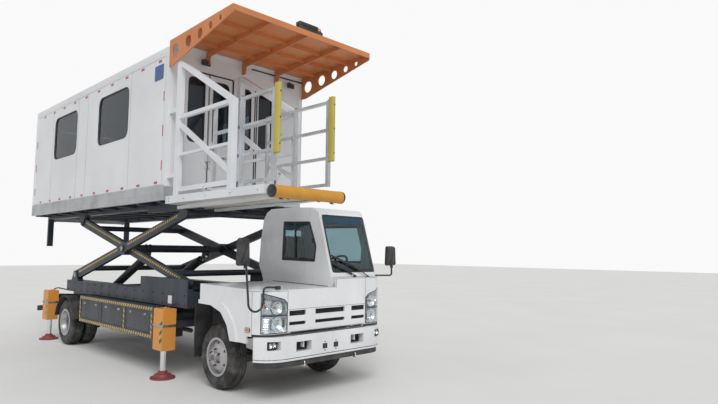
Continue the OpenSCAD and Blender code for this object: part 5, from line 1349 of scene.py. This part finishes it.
def add_floods():
    """Two lamps over the platform: eight clear cells in a black bezel, on a short bracket."""
    cells, glow, bezels = [], [], []
    x, z = VAN_FRONT + 0.06, FLOOD_Z
    lens = [(0, 0.004), (0.008, 0.003), (0.0125, 0.0), (0.0125, -0.002), (0, -0.002)]
    for y in FLOODS_Y:
        bezels.append(boxes((x - 0.004, y - 0.074, z - 0.041), (x + 0.014, y + 0.074, z + 0.041),
            0.006))
        bezels.append(boxes((VAN_FRONT, y - 0.02, z + 0.035), (x - 0.012, y + 0.02, z + 0.063),
            0.004))
        places = [(x + 0.0135, y + dy, z + dz) for dy in (-0.047, -0.016, 0.016, 0.047)
            for dz in (-0.017, 0.017)]
        cells += [revolve(lens, at, 0, 20) for at in places]
        glow += [bowl(at, 0.011, 0.006, 0.001, 0.0006) for at in places]
    put("flood_bezels", join(*bezels), PLASTIC, "van")
    put("flood_cells", join(*cells), CLEAR, "van")
    put("flood_bowls", join(*glow), CHROME, "van")


add_front_wall()
add_hooks()
add_canopy_flange()
add_floods()
print("van front ready")

# %% [markdown]
# ## The boarding platform
#
# The platform hangs in front of the van's doors: a tread-plate floor, two sliding
# handrails with yellow strips, and a soft roll across the front that may touch an aircraft.

# %% The roll: a foam tube in a stitched cover
ROLL_R, ROLL_Z, ROLL_Y = 0.076, 2.37, (-1.15, -0.096)
ROLL_X = node_box("bumper_roll")[1][0] - ROLL_R
ROLL_SEAM = 3.62


def add_roll():
    """Radius = R - slack + a crown near each end - fine creases - one long fold + the sewn seam
    - the pull where the cover ends; caps close it, and two brackets hold it from behind."""
    along, turn = np.linspace(0, 1, 140)[:, None], np.arange(72)[None] * 2 * math.pi / 72
    length = ROLL_Y[1] - ROLL_Y[0]
    ends = np.minimum(along, 1 - along) * length
    hill = lambda way, width: np.exp(-(way / width) ** 2)
    creases = 0.0011 * np.sin(along * 96 + 2.2 * np.sin(turn * 2 + 0.7)) * np.sin(turn / 2
        + along * 5) ** 2
    fold = 0.0016 * hill(np.cos(turn - 2.5) - 1, 0.035) * np.sin(along * 21) ** 2
    radius = ROLL_R - 0.0055 + 0.0035 * hill(ends - 0.045, 0.035) - creases - fold
    radius = radius + 0.0022 * hill(turn - ROLL_SEAM, 0.03) - 0.01 * hill(ends, 0.01)
    points = xyz(ROLL_X + radius * np.cos(turn), ROLL_Y[0] + length * along,
        ROLL_Z + radius * np.sin(turn))
    cover = put("roll_cover", grid(points, loop_v=True, cap_u=True), ROLL_CLOTH_PAINTED_SHADE, "van",
        "roll_yellow")
    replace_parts(cover, "bumper_roll")
    cap = np.array([(0, 0.012), (0.045, 0.0115), (0.062, 0.008), (0.0715, 0.0), (0.0735, -0.008),
        (0.0735, -0.024), (0.0705, -0.028), (0.07, -0.008), (0, -0.006)])
    button = np.array([(0, 0.02), (0.012, 0.019), (0.015, 0.014), (0.015, 0.008), (0, 0.008)])
    caps = [revolve(profile * [1, sign], (ROLL_X, y, ROLL_Z), 1, count)
        for y, sign in zip(ROLL_Y, (-1, 1)) for profile, count in ((cap, 48), (button, 20))]
    put("roll_caps", join(*caps), GLOSS_BLACK, "van")
    side = softened([(1.2703, 2.345), (1.2703, 2.395), (1.288, 2.4), (1.31, 2.352), (1.345, 2.292),
        (1.37, 2.288), (1.37, 2.281), (1.338, 2.283), (1.302, 2.34)], 0.006, 3)
    brackets = [plate(side, "xz", y, y + 0.05) for y in (-1.023, -0.263)]
    put("roll_brackets", join(*brackets), ZINC, "van")
    out, stitches = ROLL_R - 0.0032, np.arange(ROLL_Y[0] + 0.03, ROLL_Y[1] - 0.03, 0.014)
    lows = xyz(ROLL_X + out * math.cos(ROLL_SEAM) - 0.0012, stitches,
        ROLL_Z + out * math.sin(ROLL_SEAM) - 0.0012)
    # The stitches share the strips' darkened yellow, which is painted shade.
    put("roll_stitches", boxes(lows, lows + [0.0024, 0.0075, 0.0024], 0.0006), YELLOW_PAINTED_SHADE, "van")


def roll_finish():
    """Coated cloth: a fine weave bump, creases in the gloss, and patches of dirt."""
    made, tree, shader, where = start("roll_cloth_painted_shade")
    cloud = noise(tree, where, 5.0, 6, 0.6)
    # Both oranges are darkened to paint the shade the roll lies in; the cloud between them is
    # random tone.
    tone = mix(tree, ramp(tree, cloud, 0.38, 0.72), (0.64, 0.31, 0.036, 1), (0.55, 0.245, 0.028, 1))
    grime = ramp(tree, noise(tree, where, 22.0, 7, 0.7), 0.6, 0.75, 0, 0.5)
    tree.links.new(mix(tree, grime, tone, (0.42, 0.2, 0.05, 1)), shader.inputs["Base Color"])
    tree.links.new(ramp(tree, cloud, 0.3, 0.7, 0.38, 0.55), shader.inputs["Roughness"])
    bump(tree, shader, weave(tree, where, 190.0, "YZ"), 0.22, 0.0006)
    return made


ROLL_CLOTH_PAINTED_SHADE = roll_finish()
add_roll()
print("roll ready")

# %% Floor, lamps and fittings of the platform
PLATFORM_Y, PLATFORM_FLOOR, TREAD_PITCH = (-1.173, -0.133), 2.45, 0.03
RAIL_POSTS_X, RAIL_BARS_Z = (0.645, 1.275), (2.52, 2.845, 3.19, 3.53)


def add_tread_plate():
    """Raised bars on the floor, turned by 45 degrees one way and then the other."""
    lines = [np.arange(low, high, TREAD_PITCH) for low, high in ((-0.93, 1.205), (-1.0, -0.3))]
    x, y = (v.ravel()[:, None] for v in np.meshgrid(*lines, indexing="ij"))
    even = (np.round(x / TREAD_PITCH) + np.round(y / TREAD_PITCH)) % 2 == 0
    way = np.where(even, math.pi / 4, -math.pi / 4)
    rows = []
    for grow, rise in ((1.0, 0.0028), (0.72, 0.0042)):
        u, v = (ring(grow, 8) * [0.0115, 0.0032]).T
        rows.append(xyz(x + u * np.cos(way) - v * np.sin(way),
            y + u * np.sin(way) + v * np.cos(way), PLATFORM_FLOOR + rise))
    k = np.arange(8)
    sides = np.stack([k, (k + 1) % 8, (k + 1) % 8 + 8, k + 8], -1)
    bars = copies(np.concatenate(rows, 1), (sides, np.stack([k + 8, k[::-1]])))
    put("tread_bars", bars, ZINC, "van")


def add_platform_fittings():
    """Grab loops on the side beams, marker lamps under the front edge, bolts of the trusses."""
    hooks, bolts, lamps, cups = [], [], [], []
    for y, sign in zip(PLATFORM_Y, (-1, 1)):
        near, far = y - sign * 0.004, y + sign * 0.018
        hooks.append(tube([(0, near, 2.455), (0, far, 2.47), (0, far, 2.505), (0.06, far, 2.505),
            (0.06, far, 2.47), (0.06, near, 2.455)], 0.006, 0.014, (0, 1, 0.2)))
        places = [(x, y, z) for x in (-0.975, -0.9) for z in (2.38, 2.42)]
        places += [(x, y, 2.395) for x in (-0.5, 0.05, 0.6, 1.15)]
        bolts.append(studs(places, 0.009, sign * 0.007, 1, 6))
    put("side_hooks", join(*hooks), CHROME, "van")
    for y in (-0.8, -0.34):
        at = (1.225, y, 2.335)
        cups.append(revolve([(0, -0.03), (0.02, -0.03), (0.027, -0.018), (0.029, 0.006),
            (0.026, 0.006), (0.024, -0.01), (0, -0.014)], at, 0, 28))
        cups.append(tube([(1.205, y, 2.351), (1.2, y, 2.34), (1.195, y, 2.335)], 0.006, 0.004,
            (0, 1, 0)))
        lamps.append(revolve([(0, 0.008), (0.014, 0.006), (0.023, 0.0), (0.023, -0.008),
            (0, -0.008)], at, 0, 28))
    put("edge_lamp_cups", join(*cups), GLOSS_BLACK, "van")
    put("edge_lamps", join(*lamps), CLEAR, "van")
    put("platform_bolts", join(*bolts), ZINC, "van")


def add_underside():
    """Cream channels under the platform, and a black pipe that is clipped up beside them."""
    channel = np.array([(-0.02, 0.0), (-0.02, 0.03), (-0.016, 0.03), (-0.016, 0.004),
        (0.016, 0.004), (0.016, 0.03), (0.02, 0.03), (0.02, 0.0)])[::-1]
    shapes = [sweep([[-0.985, y, 2.316], [1.2, y, 2.316]], channel) for y in (-0.56, -0.72)]
    shapes.append(boxes((-0.985, -1.11, 2.344), (1.205, -0.2, 2.349), 0.001))
    put("underside", join(*shapes), CREAM, "van")
    t = np.linspace(0, 1, 33)
    path = xyz(-0.96 + 2.11 * t, -0.46 - 0.03 * np.sin(t * math.pi),
        2.33 - 0.004 * np.abs(np.sin(t * 4 * math.pi)))
    put("platform_hose", sweep(path, ring(0.009, 10)), SEAL, "van")
    clips = path[::8]
    highs = xyz(clips[:, 0] + 0.01, clips[:, 1] + 0.013, 2.346)
    put("hose_clips", boxes(clips - [0.01, 0.013, 0.012], highs), ZINC, "van")


def add_rail_strips():
    """A yellow rubber strip with a domed front on each handrail, held by three bolts, plugs in
    the ends of the rail's tubes, and collars where its bars meet its posts."""
    for side, y in (("right", -1.059), ("left", -0.247)):
        body, at = f"handrail_{side}", place_on("xy")
        section = softened([(1.298, y - 0.026), (1.298, y + 0.026), (1.352, y + 0.027),
            (1.378, y + 0.014), (1.382, y), (1.378, y - 0.014), (1.352, y - 0.027)][::-1], 0.008, 4)
        small = inset(section, 0.004)
        rows = [at(small, 2.8), at(section, 2.806), at(section, 3.584), at(small, 3.59)]
        # The strip's darkened yellow is painted shade.
        put(f"strip_{side}", grid(rows, loop_v=True, cap_u=True), YELLOW_PAINTED_SHADE, body)
        bolts = studs([(1.381, y, z) for z in (2.9, 3.195, 3.49)], 0.0095, 0.004, 0, 16, 0.5)
        put(f"strip_bolts_{side}", bolts, SEAL, body)
        plugs = studs([(x, y, 3.5625) for x in RAIL_POSTS_X], 0.017, 0.004, 2, 20, 0.4)
        put(f"rail_plugs_{side}", plugs, PLASTIC, body)
        welds = [(x, z + dz) for dz, bars in ((-0.026, RAIL_BARS_Z[1:]), (0.019, RAIL_BARS_Z[:3]))
            for x in RAIL_POSTS_X for z in bars]
        lows = np.array([(x - 0.0235, y - 0.0235, z) for x, z in welds])
        put(f"rail_welds_{side}", boxes(lows, lows + [0.047, 0.047, 0.007], 0.001), HAND_STEEL,
            body)


# Places and radii of the round holes in the canopy's sides
CANOPY_HOLES = ((-0.83, 4.46, 0.095), (-0.49, 4.5, 0.085), (-0.19, 4.53, 0.07), (0.07, 4.565, 0.05),
    (0.3, 4.598, 0.035))


def add_canopy_trim():
    """Ring beads at the pierced sides, and rivets of the roof sheet."""
    rims = []
    for x, z, r in CANOPY_HOLES:
        circle = ring(r + 0.006, 40) + [x, z]
        rims.append(bead(circle, inset(circle, 0.009), "xz", -VAN_SIDE + 0.004, -VAN_SIDE - 0.003,
            6))
    # Rims and rivets take the canopy's orange, darkened as painted shade.
    put("canopy_rims", both(*rims), ORANGE_PAINTED_SHADE, "van")
    x = np.arange(-0.94, 0.56, 0.12)
    rise = 4.64 + 0.055 * (x + 1.0) / 1.58
    lines = [xyz(x, y, rise - 0.0005) for y in (-1.15, -0.62, 0.0, 0.62, 1.15)]
    put("canopy_rivets", studs(np.concatenate(lines), 0.006, 0.003, 2, 8, 0.6), ORANGE_PAINTED_SHADE, "van")


def add_beacons():
    """The unit on the canopy's edge: a black housing with cooling fins, and an orange lens."""
    x, y, z = 0.505, 0.07, 4.6955
    base = plate(rounded((x - 0.053, y - 0.208), (x + 0.053, y + 0.208), 0.02), "xy", z, z + 0.058,
        0.006)
    body = plate(rounded((x - 0.046, y - 0.205), (x + 0.046, y + 0.128), 0.014), "xy", z + 0.057,
        z + 0.118, 0.008)
    fins = [boxes((x - 0.05, y + d, z + 0.064), (x + 0.05, y + d + 0.006, z + 0.112), 0.002)
        for d in np.arange(-0.19, 0.11, 0.022)]
    feet = [boxes((x - 0.03, y + d - 0.012, z - 0.0005), (x + 0.03, y + d + 0.012, z + 0.004),
        0.002) for d in (-0.15, 0.15)]
    unit = put("beacon_unit", join(base, body, *fins, *feet), PLASTIC, "van")
    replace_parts(unit, "canopy_lights")
    foot = (x, y + 0.16, z + 0.057)
    ribs = 0.0008 * np.sin(np.arange(96) * 2 * math.pi * 24 / 96)
    profile = ((0, 0.062), (0.018, 0.061), (0.033, 0.055), (0.039, 0.04), (0.041, 0), (0, 0))
    lens, faces = revolve(profile, foot, 2, 96)
    off = lens - foot
    away = np.linalg.norm(off[:, :2], axis=1)
    grow = np.repeat(ribs, len(profile)) * (away > 0.03) / np.maximum(away, 0.01)
    put("beacon_lens", (lens + off * grow[:, None] * [1, 1, 0], faces), AMBER, "van")
    cage = revolve([(0.043, 0.0), (0.048, 0.0), (0.048, 0.01), (0.043, 0.01)], foot, 2, 40)
    put("beacon_ring", cage, GLOSS_BLACK, "van")


add_tread_plate()
add_platform_fittings()
add_underside()
add_rail_strips()
add_canopy_trim()
add_beacons()
print("platform ready")

# %% [markdown]
# ## The scissor lift, the cabinets and the jacks
#
# Moving steel is marked with slanted yellow tape. Each mark is a thin parallelogram, and a
# row of them is made at once from the row's two ends.

# %% Hazard tape
MARK_YELLOW = paint("mark_yellow", (0.72, 0.47, 0.06), 0.5, mottle=0.14, dust=0.25, dust_top=1.2,
    chips=0.7)


def marks(start, end, normal, width, pitch=0.066, lean=0.028, share=0.46, thick=0.0012):
    """Parallelograms along a line: the k-th starts k * pitch along it, and its far edge runs
    ahead by lean."""
    start, end, normal = (np.asarray(v, float) for v in (start, end, normal))
    length = np.linalg.norm(end - start)
    ahead = (end - start) / length
    across = np.cross(normal, ahead)
    at = np.arange(0.0, length - pitch * share - abs(lean), pitch) + max(0.0, -lean)
    corner = np.array([(0, -0.5), (share * pitch, -0.5), (share * pitch + lean, 0.5), (lean, 0.5)])
    corner = corner * [1, width]
    flat = start + (at[:, None, None] + corner[None, :, :1]) * ahead + corner[None, :, 1:] * across
    points = np.concatenate([flat - normal * 0.0006, flat + normal * thick], 1)
    faces = np.array([[3, 2, 1, 0], [4, 5, 6, 7], [0, 1, 5, 4], [1, 2, 6, 5], [2, 3, 7, 6],
        [3, 0, 4, 7]])
    return copies(points, [faces])


def tape(start, end, width, **more):
    """The dark strip under the marks, as one long mark, and the marks, on a right side."""
    length, out = np.linalg.norm(np.subtract(end, start)), (0, -1, 0)
    strip = marks(start, end, out, width, length - 0.002, 0.0, 1.0, 0.0006)
    return strip, marks(start, end, out, width * 0.94, **more)


def put_tape(strip_name, marks_name, rows, body="root"):
    """The strips and the marks of some rows, on both sides of the machine."""
    strips, yellow = zip(*rows)
    put(strip_name, both(*strips), GLOSS_BLACK, body)
    put(marks_name, both(*yellow), MARK_YELLOW, body)


ARM_REAR, ARM_FRONT = np.array([-4.78, 1.255]), np.array([-0.827, 2.226])
ARM_LOW_FRONT = np.array([-0.827, 1.255])
ARM_HIGH_REAR = np.array([-4.78, 2.226])
ARM_TAPE_RISE = 0.022
# For each pair of arms: its name, its two ends, the y of its face and the shares of its rows
ARM_ROWS = (("outer_arms", ARM_REAR, ARM_FRONT, 0.965, ((0.035, 0.455), (0.545, 0.955))),
    ("inner_arms", ARM_HIGH_REAR, ARM_LOW_FRONT, 0.895, ((0.045, 0.455), (0.545, 0.95))))


def add_arm_tape():
    """Rows on the outer face of each arm, above its middle line, broken at the middle pin."""
    for name, a, b, face, spans in ARM_ROWS:
        way = b - a
        foot = a + np.array([-way[1], way[0]]) / np.linalg.norm(way) * ARM_TAPE_RISE
        at = lambda t: place_on("xz")(foot + way * t, -face)
        rows = [tape(at(start), at(end), 0.034) for start, end in spans]
        put_tape(f"tape_base_{name}", f"tape_{name}", rows, name)


CABINET_FACE_Y, CABINET_DOOR_Y = -1.15, -1.1435


def add_cabinet_tape():
    """A border round the cabinets' doors, with one upright row between them."""
    y = CABINET_FACE_Y
    rows = [((-3.99, y, z), (-1.265, y, z)) for z in (0.905, 0.528)]
    rows += [((x, y, 0.552), (x, y, 0.88)) for x in (-3.975, -2.215, -1.312)]
    rows = [tape(start, end, 0.044, pitch=0.075, lean=0.034) for start, end in rows]
    put_tape("cabinet_tape_base", "cabinet_tape", rows)


def add_cabinet_doors():
    """Pressed frames, two turn latches and a long hinge on each recessed door."""
    ribs, latches, hinges, y = [], [], [], CABINET_DOOR_Y
    for x in (-3.96, -3.07, -2.18):
        outline = rounded((x + 0.022, 0.582), (x + 0.798, 0.853), 0.03)
        ribs.append(bead(outline, inset(outline, 0.016), "xz", y, y - 0.0055, 6))
        for at in (x + 0.17, x + 0.65):
            cup = rounded((at - 0.034, 0.8), (at + 0.034, 0.836), 0.012)
            latches.append(bead(cup, inset(cup, 0.007), "xz", y, y - 0.006, 5))
            latches.append(boxes((at - 0.004, y - 0.0085, 0.806), (at + 0.026, y + 0.0005, 0.83),
                0.002))
        hinge = [[at, y - 0.0025, 0.568] for at in (x + 0.03, x + 0.79)]
        hinges.append(sweep(hinge, ring(0.0055, 10)))
    put("cabinet_ribs", both(*ribs), NAVY)
    put("cabinet_latches", both(*latches), ZINC)
    put("cabinet_hinges", both(*hinges), NAVY)


JACKS_X = (-1.05, -5.69)


def add_jack_trim():
    """Yellow strips with black lozenges, a clamp with its bolts, the heads of the jack's bolts
    and a pressure pipe."""
    strips, diamonds, clamps, pins = [], [], [], []
    clamp_low, clamp_high, bolt_z, middle_y = 0.69, 0.722, 0.706, -1.085
    for x in JACKS_X:
        strips.append(boxes((x + 0.052, -1.1822, 0.425), (x + 0.126, -1.179, 0.8), 0.001))
        for z in np.arange(0.465, 0.76, 0.11):
            lozenge = np.array([(x + 0.054, z), (x + 0.124, z + 0.046), (x + 0.124, z + 0.098),
                (x + 0.054, z + 0.052)])
            diamonds.append(plate(lozenge, "xz", -1.1815, -1.183, 0.0003))
        band = rounded((x - 0.14, -1.186), (x + 0.14, -0.985), 0.012, 4)
        inner = inset(band, 0.0052)
        loop = ((band, clamp_low), (band, clamp_high), (inner, clamp_high), (inner, clamp_low))
        clamps.append(grid([place_on("xy")(o, z) for o, z in loop], loop_u=True, loop_v=True))
        lows = np.array([(x - 0.172, y, 0.694) for y in (-1.176, -1.146)])
        clamps.append(boxes(lows, lows + [0.034, 0.008, 0.024], 0.002))
        pins.append(studs((x - 0.156, -1.179, bolt_z), 0.009, -0.008, 1))
        pins.append(sweep([[x - 0.156, y, bolt_z] for y in (-1.18, -1.128)], ring(0.0055, 10)))
        pins.append(revolve([(0, 0.014), (0.01, 0.014), (0.014, 0.008), (0.014, -0.004),
            (0, -0.004)], (x, middle_y, 0.93), 2, 20))
        heads = [(x + dx, middle_y + dy, 0.9295) for dx in (-0.11, 0.11) for dy in (-0.07, 0.07)]
        pins.append(studs(heads, 0.01, 0.008, 2))
    put("jack_strips", both(*strips), MARK_YELLOW)
    put("jack_lozenges", both(*diamonds), GLOSS_BLACK)
    put("jack_clamps", both(*clamps), ZINC)
    put("jack_pins", both(*pins), ZINC)
    front = [(-0.99, -1.062, 0.943), (-0.99, -1.03, 0.99), (-0.9, -0.9, 1.01), (-0.74, -0.7, 0.93),
        (-0.7, -0.52, 0.86)]
    rear = [(-5.69, -1.04, 0.944), (-5.69, -0.98, 0.975), (-5.6, -0.72, 0.905),
        (-5.45, -0.5, 0.862)]
    put("jack_pipes", both(tube(front, 0.011, 0.06), tube(rear, 0.011, 0.05)), SEAL)


def add_base_trim():
    """Bolts along the base beams, caps on the arms' pins, and the small pale plate above the
    front jack, left blank."""
    bolts = [(x, -0.9895, z) for x in np.arange(-5.05, -0.7, 0.31) for z in (0.985, 1.115)]
    put("base_bolts", both(studs(bolts, 0.012, -0.01, 1, 6)), NAVY)
    for arms, place, radius, height in (("outer", (-4.78, -0.9845, 1.255), 0.046, -0.01),
            ("inner", (-2.8035, -0.9805, 1.7405), 0.04, -0.008)):
        cap = studs([place], radius, height, 1, 24, 0.3)
        put(f"pin_caps_{arms}", both(cap), ZINC, f"{arms}_arms")
    panel = plate(rounded((-1.165, 0.985), (-1.06, 1.095), 0.008, 4), "xz", -0.9885, -0.9935, 0.001)
    put("blank_plate", panel, FRAME_WHITE)


FOOT = np.array([-4.58, 0.835])
CYLINDER_WAY = np.array([1.7455, 0.7793]) / math.hypot(1.7455, 0.7793)


def add_cylinder_trim():
    """A feed pipe along each barrel, held by two clips."""
    side = np.array([-CYLINDER_WAY[1], CYLINDER_WAY[0]])
    at = lambda t, out, y: place_on("xz")(FOOT + CYLINDER_WAY * t + side * out, y)
    pipe = tube([at(0.12, 0.05, 0.5), at(0.12, 0.058, 0.462), at(0.18, 0.03, 0.455),
        at(1.64, 0.03, 0.455), at(1.69, 0.04, 0.47), at(1.69, 0.03, 0.49)], 0.008, 0.03)
    turn = np.linspace(-0.2, 0.9, 9)
    clips = []
    for t in (0.45, 1.05):
        path = [at(t, 0.07 * math.sin(a), 0.54 - 0.07 * math.cos(a)) for a in turn]
        clips.append(sweep(path, ring(0.5, 6) * [0.02, 0.006],
            (CYLINDER_WAY[0], 0, CYLINDER_WAY[1])))
    put("cylinder_pipes", both(pipe, *clips), ZINC, "cylinder_barrels")


add_arm_tape()
add_cabinet_tape()
add_cabinet_doors()
add_jack_trim()
add_base_trim()
add_cylinder_trim()
print("lift ready")

# %% [markdown]
# ## The driver's place
#
# The seat's two cushions start as boxy rounded solids. Air pressure swells them as cloth,
# the swelling is held to 24 mm, and then the seams are pressed in.

# %% Cushions
SEAT_AT = (-0.09, 0.59, 1.3853)
BACK_FOOT, BACK_LEAN = (-0.36, 1.4203), math.radians(10)
SWELL_CAP, SWELL_STEPS, VOXEL, PRESSURE = 0.024, 20, 0.006, 4.0


def boxy(half, power=5.0, nu=56, nv=36):
    """|x/a|^p + |y/b|^p + |z/c|^p = 1, scaled along each direction of a sphere."""
    u = np.arange(nu)[None] * 2 * math.pi / nu
    v = np.linspace(-math.pi / 2, math.pi / 2, nv)[:, None]
    ball = xyz(np.cos(v) * np.cos(u), np.cos(v) * np.sin(u), np.sin(v))
    reach = np.sum(np.abs(ball) ** power, -1, keepdims=True) ** (-1 / power)
    return grid(ball * reach * np.array(half), loop_v=True)


def evaluated(piece):
    """The piece with its modifiers worked out."""
    return piece.evaluated_get(bpy.context.evaluated_depsgraph_get())


def swollen(piece):
    """Voxel remesh, cloth under inner pressure, and each point's way held to the cap."""
    remesh = piece.modifiers.new("even", "REMESH")
    remesh.mode, remesh.voxel_size = "VOXEL", VOXEL
    settled = bpy.data.meshes.new_from_object(evaluated(piece))
    piece.modifiers.clear()
    piece.data = settled
    before = places_of(settled)
    cloth = piece.modifiers.new("air", "CLOTH")
    cloth.settings.use_pressure = True
    cloth.settings.uniform_pressure_force = PRESSURE
    cloth.settings.effector_weights.gravity = 0.0
    cloth.collision_settings.use_collision = False
    for step in range(1, SWELL_STEPS + 1):
        bpy.context.scene.frame_set(step)
    after = places_of(evaluated(piece).to_mesh())
    piece.modifiers.clear()
    bpy.context.scene.frame_set(1)
    way = after - before
    length = np.maximum(np.linalg.norm(way, axis=1, keepdims=True), 1e-9)
    held = before + way / length * SWELL_CAP * np.tanh(length / SWELL_CAP)
    settled.vertices.foreach_set("co", held.ravel())


def add_cushion(name, half, channels, to_place):
    """Swells a boxy solid, presses sewn channels into its front face and a seam round its
    middle, and lays it in place."""
    piece = put(name, boxy(np.array(half) - 0.016), SEAT_CLOTH, "root", "seat_cloth")
    swollen(piece)
    mesh = piece.data
    at = places_of(mesh) - SHIFT
    crease = lambda way, width: np.exp(-(way / width) ** 2)
    lean = np.clip(at[:, 2] / half[2], 0, 1)
    for y in channels:
        at[:, 2] -= 0.01 * crease(at[:, 1] - y, 0.01) * lean
    for x in (-0.5 * half[0], 0.42 * half[0]):
        across = crease(at[:, 0] - x, 0.01) * (np.abs(at[:, 1]) < channels[-1])
        at[:, 2] -= 0.008 * across * lean
    at[:, :2] *= 1 - (0.01 * crease(at[:, 2] - 0.35 * half[2], 0.004))[:, None]
    low = np.abs(at[:, 2:]) < 0.6 * half[2]
    at[:, :2] *= 1 - 0.012 * (1 - np.abs(at[:, :2]) / np.array(half[:2])) * low
    mesh.vertices.foreach_set("co", (to_place(at) + SHIFT).ravel())
    mesh.update()
    mesh.shade_smooth()
    smooth = piece.modifiers.new("smooth", "SUBSURF")
    smooth.levels = smooth.render_levels = 1
    return piece


def leaning(at):
    """Places of a lying cushion, stood up against the seat's leaning back."""
    along, out = 0.281 + at[:, 0], 0.055 + at[:, 2]
    sine, cosine = math.sin(BACK_LEAN), math.cos(BACK_LEAN)
    return xyz(BACK_FOOT[0] + out * cosine - along * sine, SEAT_AT[1] + at[:, 1],
        BACK_FOOT[1] + out * sine + along * cosine)


def add_seat():
    """A cushion to sit on, in place of the model's seat, and one behind it."""
    seat = add_cushion("seat_cushion", (0.24, 0.238, 0.054), (-0.13, 0.13), lambda at: at + SEAT_AT)
    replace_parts(seat, "cab_seat")
    add_cushion("seat_back", (0.276, 0.226, 0.054), (-0.125, 0.125), leaning)


def cloth_finish():
    """Two crossed wave textures give the weave; the sheen and a soft cloud keep it from flat."""
    made, tree, shader, where = start("seat_cloth")
    cloud = noise(tree, where, 9.0, 5)
    tree.links.new(mix(tree, ramp(tree, cloud, 0.35, 0.7), (0.035, 0.037, 0.042, 1),
        (0.06, 0.062, 0.068, 1)), shader.inputs["Base Color"])
    shader.inputs["Roughness"].default_value = 0.85
    shader.inputs["Sheen Weight"].default_value = 0.4
    bump(tree, shader, weave(tree, where, 260.0, ("Y", "DIAGONAL")), 0.5, 0.0008)
    return made


SEAT_CLOTH = cloth_finish()
add_seat()
print("seat ready")

# %% Dashboard and wheel boss
WHEEL_AT, WHEEL_LEAN = np.array([0.62, 0.59, 1.4]), math.radians(-38)

DIALS_Y = (0.525, 0.655)


def add_dashboard():
    """A hooded binnacle with two dials, round vents, a row of switches, and the wheel's boss."""
    hood = [(0.61, 1.468), (0.6, 1.52), (0.64, 1.548), (0.72, 1.54), (0.79, 1.46)]
    binnacle = plate(softened(hood, 0.016, 4), "xz", 0.42, 0.76, 0.01)
    face = boxes((0.592, 0.44, 1.472), (0.612, 0.74, 1.53), 0.008)
    put("binnacle", join(binnacle, face), PLASTIC)
    dials = [revolve([(0.026, 0.002), (0.03, 0.002), (0.03, -0.004), (0.026, -0.004)],
        (0.59, y, 1.5), 0) for y in DIALS_Y]
    needles = [boxes((0.59, y - 0.001, 1.5), (0.5915, y + 0.001, 1.52), 0.0003) for y in DIALS_Y]
    put("dials", join(*dials, *needles), CHROME)
    vents = [revolve([(0.03, 0.004), (0.036, 0.002), (0.038, -0.01), (0.028, -0.01)],
        (0.64, y, 1.492), 0, 28) for y in (0.25, 0.34, 0.85)]
    keys = [boxes((0.556, y, 1.428), (0.574, y + 0.022, 1.446)) for y in np.arange(0.22, 0.4, 0.03)]
    put("dash_vents", join(*vents, *keys), GLOSS_BLACK)
    away = np.array([math.sin(WHEEL_LEAN), 0, math.cos(WHEEL_LEAN)])
    along = np.array([math.cos(WHEEL_LEAN), 0, -math.sin(WHEEL_LEAN)])
    circle = ring(1.0, 28)
    boss = ((0.052, 0.168), (0.06, 0.186), (0.056, 0.2), (0.04, 0.208), (0.018, 0.212))
    rows = [WHEEL_AT + away * h + circle[:, :1] * along * r * 1.15 + circle[:, 1:] * (0, r, 0)
        for r, h in boss]
    put("wheel_boss", grid(rows, loop_v=True, cap_u=True), PLASTIC)


add_dashboard()
print("driver's place ready")

# %% [markdown]
# ## Behind: the tail lift and the rear lamps

# %% Tail lift and rear lamps
TAIL_PLATE_X, TAIL_Z = -6.882, (2.33, 3.6)


def add_tail():
    """Ribs of the folded platform, bolts of its tracks, and the shutter's handle and joints."""
    section = np.array([(0, -0.012), (-0.014, -0.008), (-0.014, 0.008), (0, 0.012)])
    x, low, high = TAIL_PLATE_X - 0.0265, TAIL_Z[0] + 0.08, TAIL_Z[1] - 0.03
    ribs = [sweep([[x, y, low], [x, y, high]], section, (0, 1, 0))
        for y in np.linspace(-0.56, 0.56, 6)]
    put("tail_ribs", join(*ribs), ZINC, "tail_lift_platform")
    tracks = [(-6.8705, y, z) for y in (-0.845, 0.845) for z in np.arange(1.86, 4.6, 0.22)]
    put("track_bolts", studs(tracks, 0.01, -0.007, 0, 6), ZINC, "van")
    handle = tube([(-6.792, -0.08, 2.78), (-6.826, -0.08, 2.78), (-6.826, 0.08, 2.78),
        (-6.792, 0.08, 2.78)], 0.008, 0.02)
    put("shutter_handle", handle, CHROME, "van")
    slats = [sweep([[-6.7945, -0.684, z], [-6.7945, 0.684, z]], ring(0.5, 8) * [0.006, 0.01])
        for z in 2.5903 + 0.103 * np.arange(1, 16)]
    put("shutter_joints", join(*slats), SEAL, "van")


def add_rear_lamps():
    """Three lenses side by side in a black housing at each end of the underrun bar."""
    housing = boxes((-6.548, 0.76, 0.486), (-6.5098, 1.06, 0.574), 0.006)
    put("rear_lamp_housings", both(housing), PLASTIC)
    x = -6.5565
    for name, y0, y1, finish in (("stop", 0.768, 0.86, RED), ("turn", 0.866, 0.954, AMBER),
            ("reverse", 0.96, 1.052, LAMP_TRAY)):
        lens = plate(rounded((y0, 0.493), (y1, 0.567), 0.01, 4), "yz", -6.546, x - 0.0005, 0.004)
        ribs = [sweep([[x, y0 + 0.008, z], [x, y1 - 0.008, z]], ring(0.0022, 6))
            for z in np.arange(0.505, 0.56, 0.009)]
        put(f"rear_{name}", both(lens, *ribs), finish)


add_tail()
add_rear_lamps()
print("rear ready")
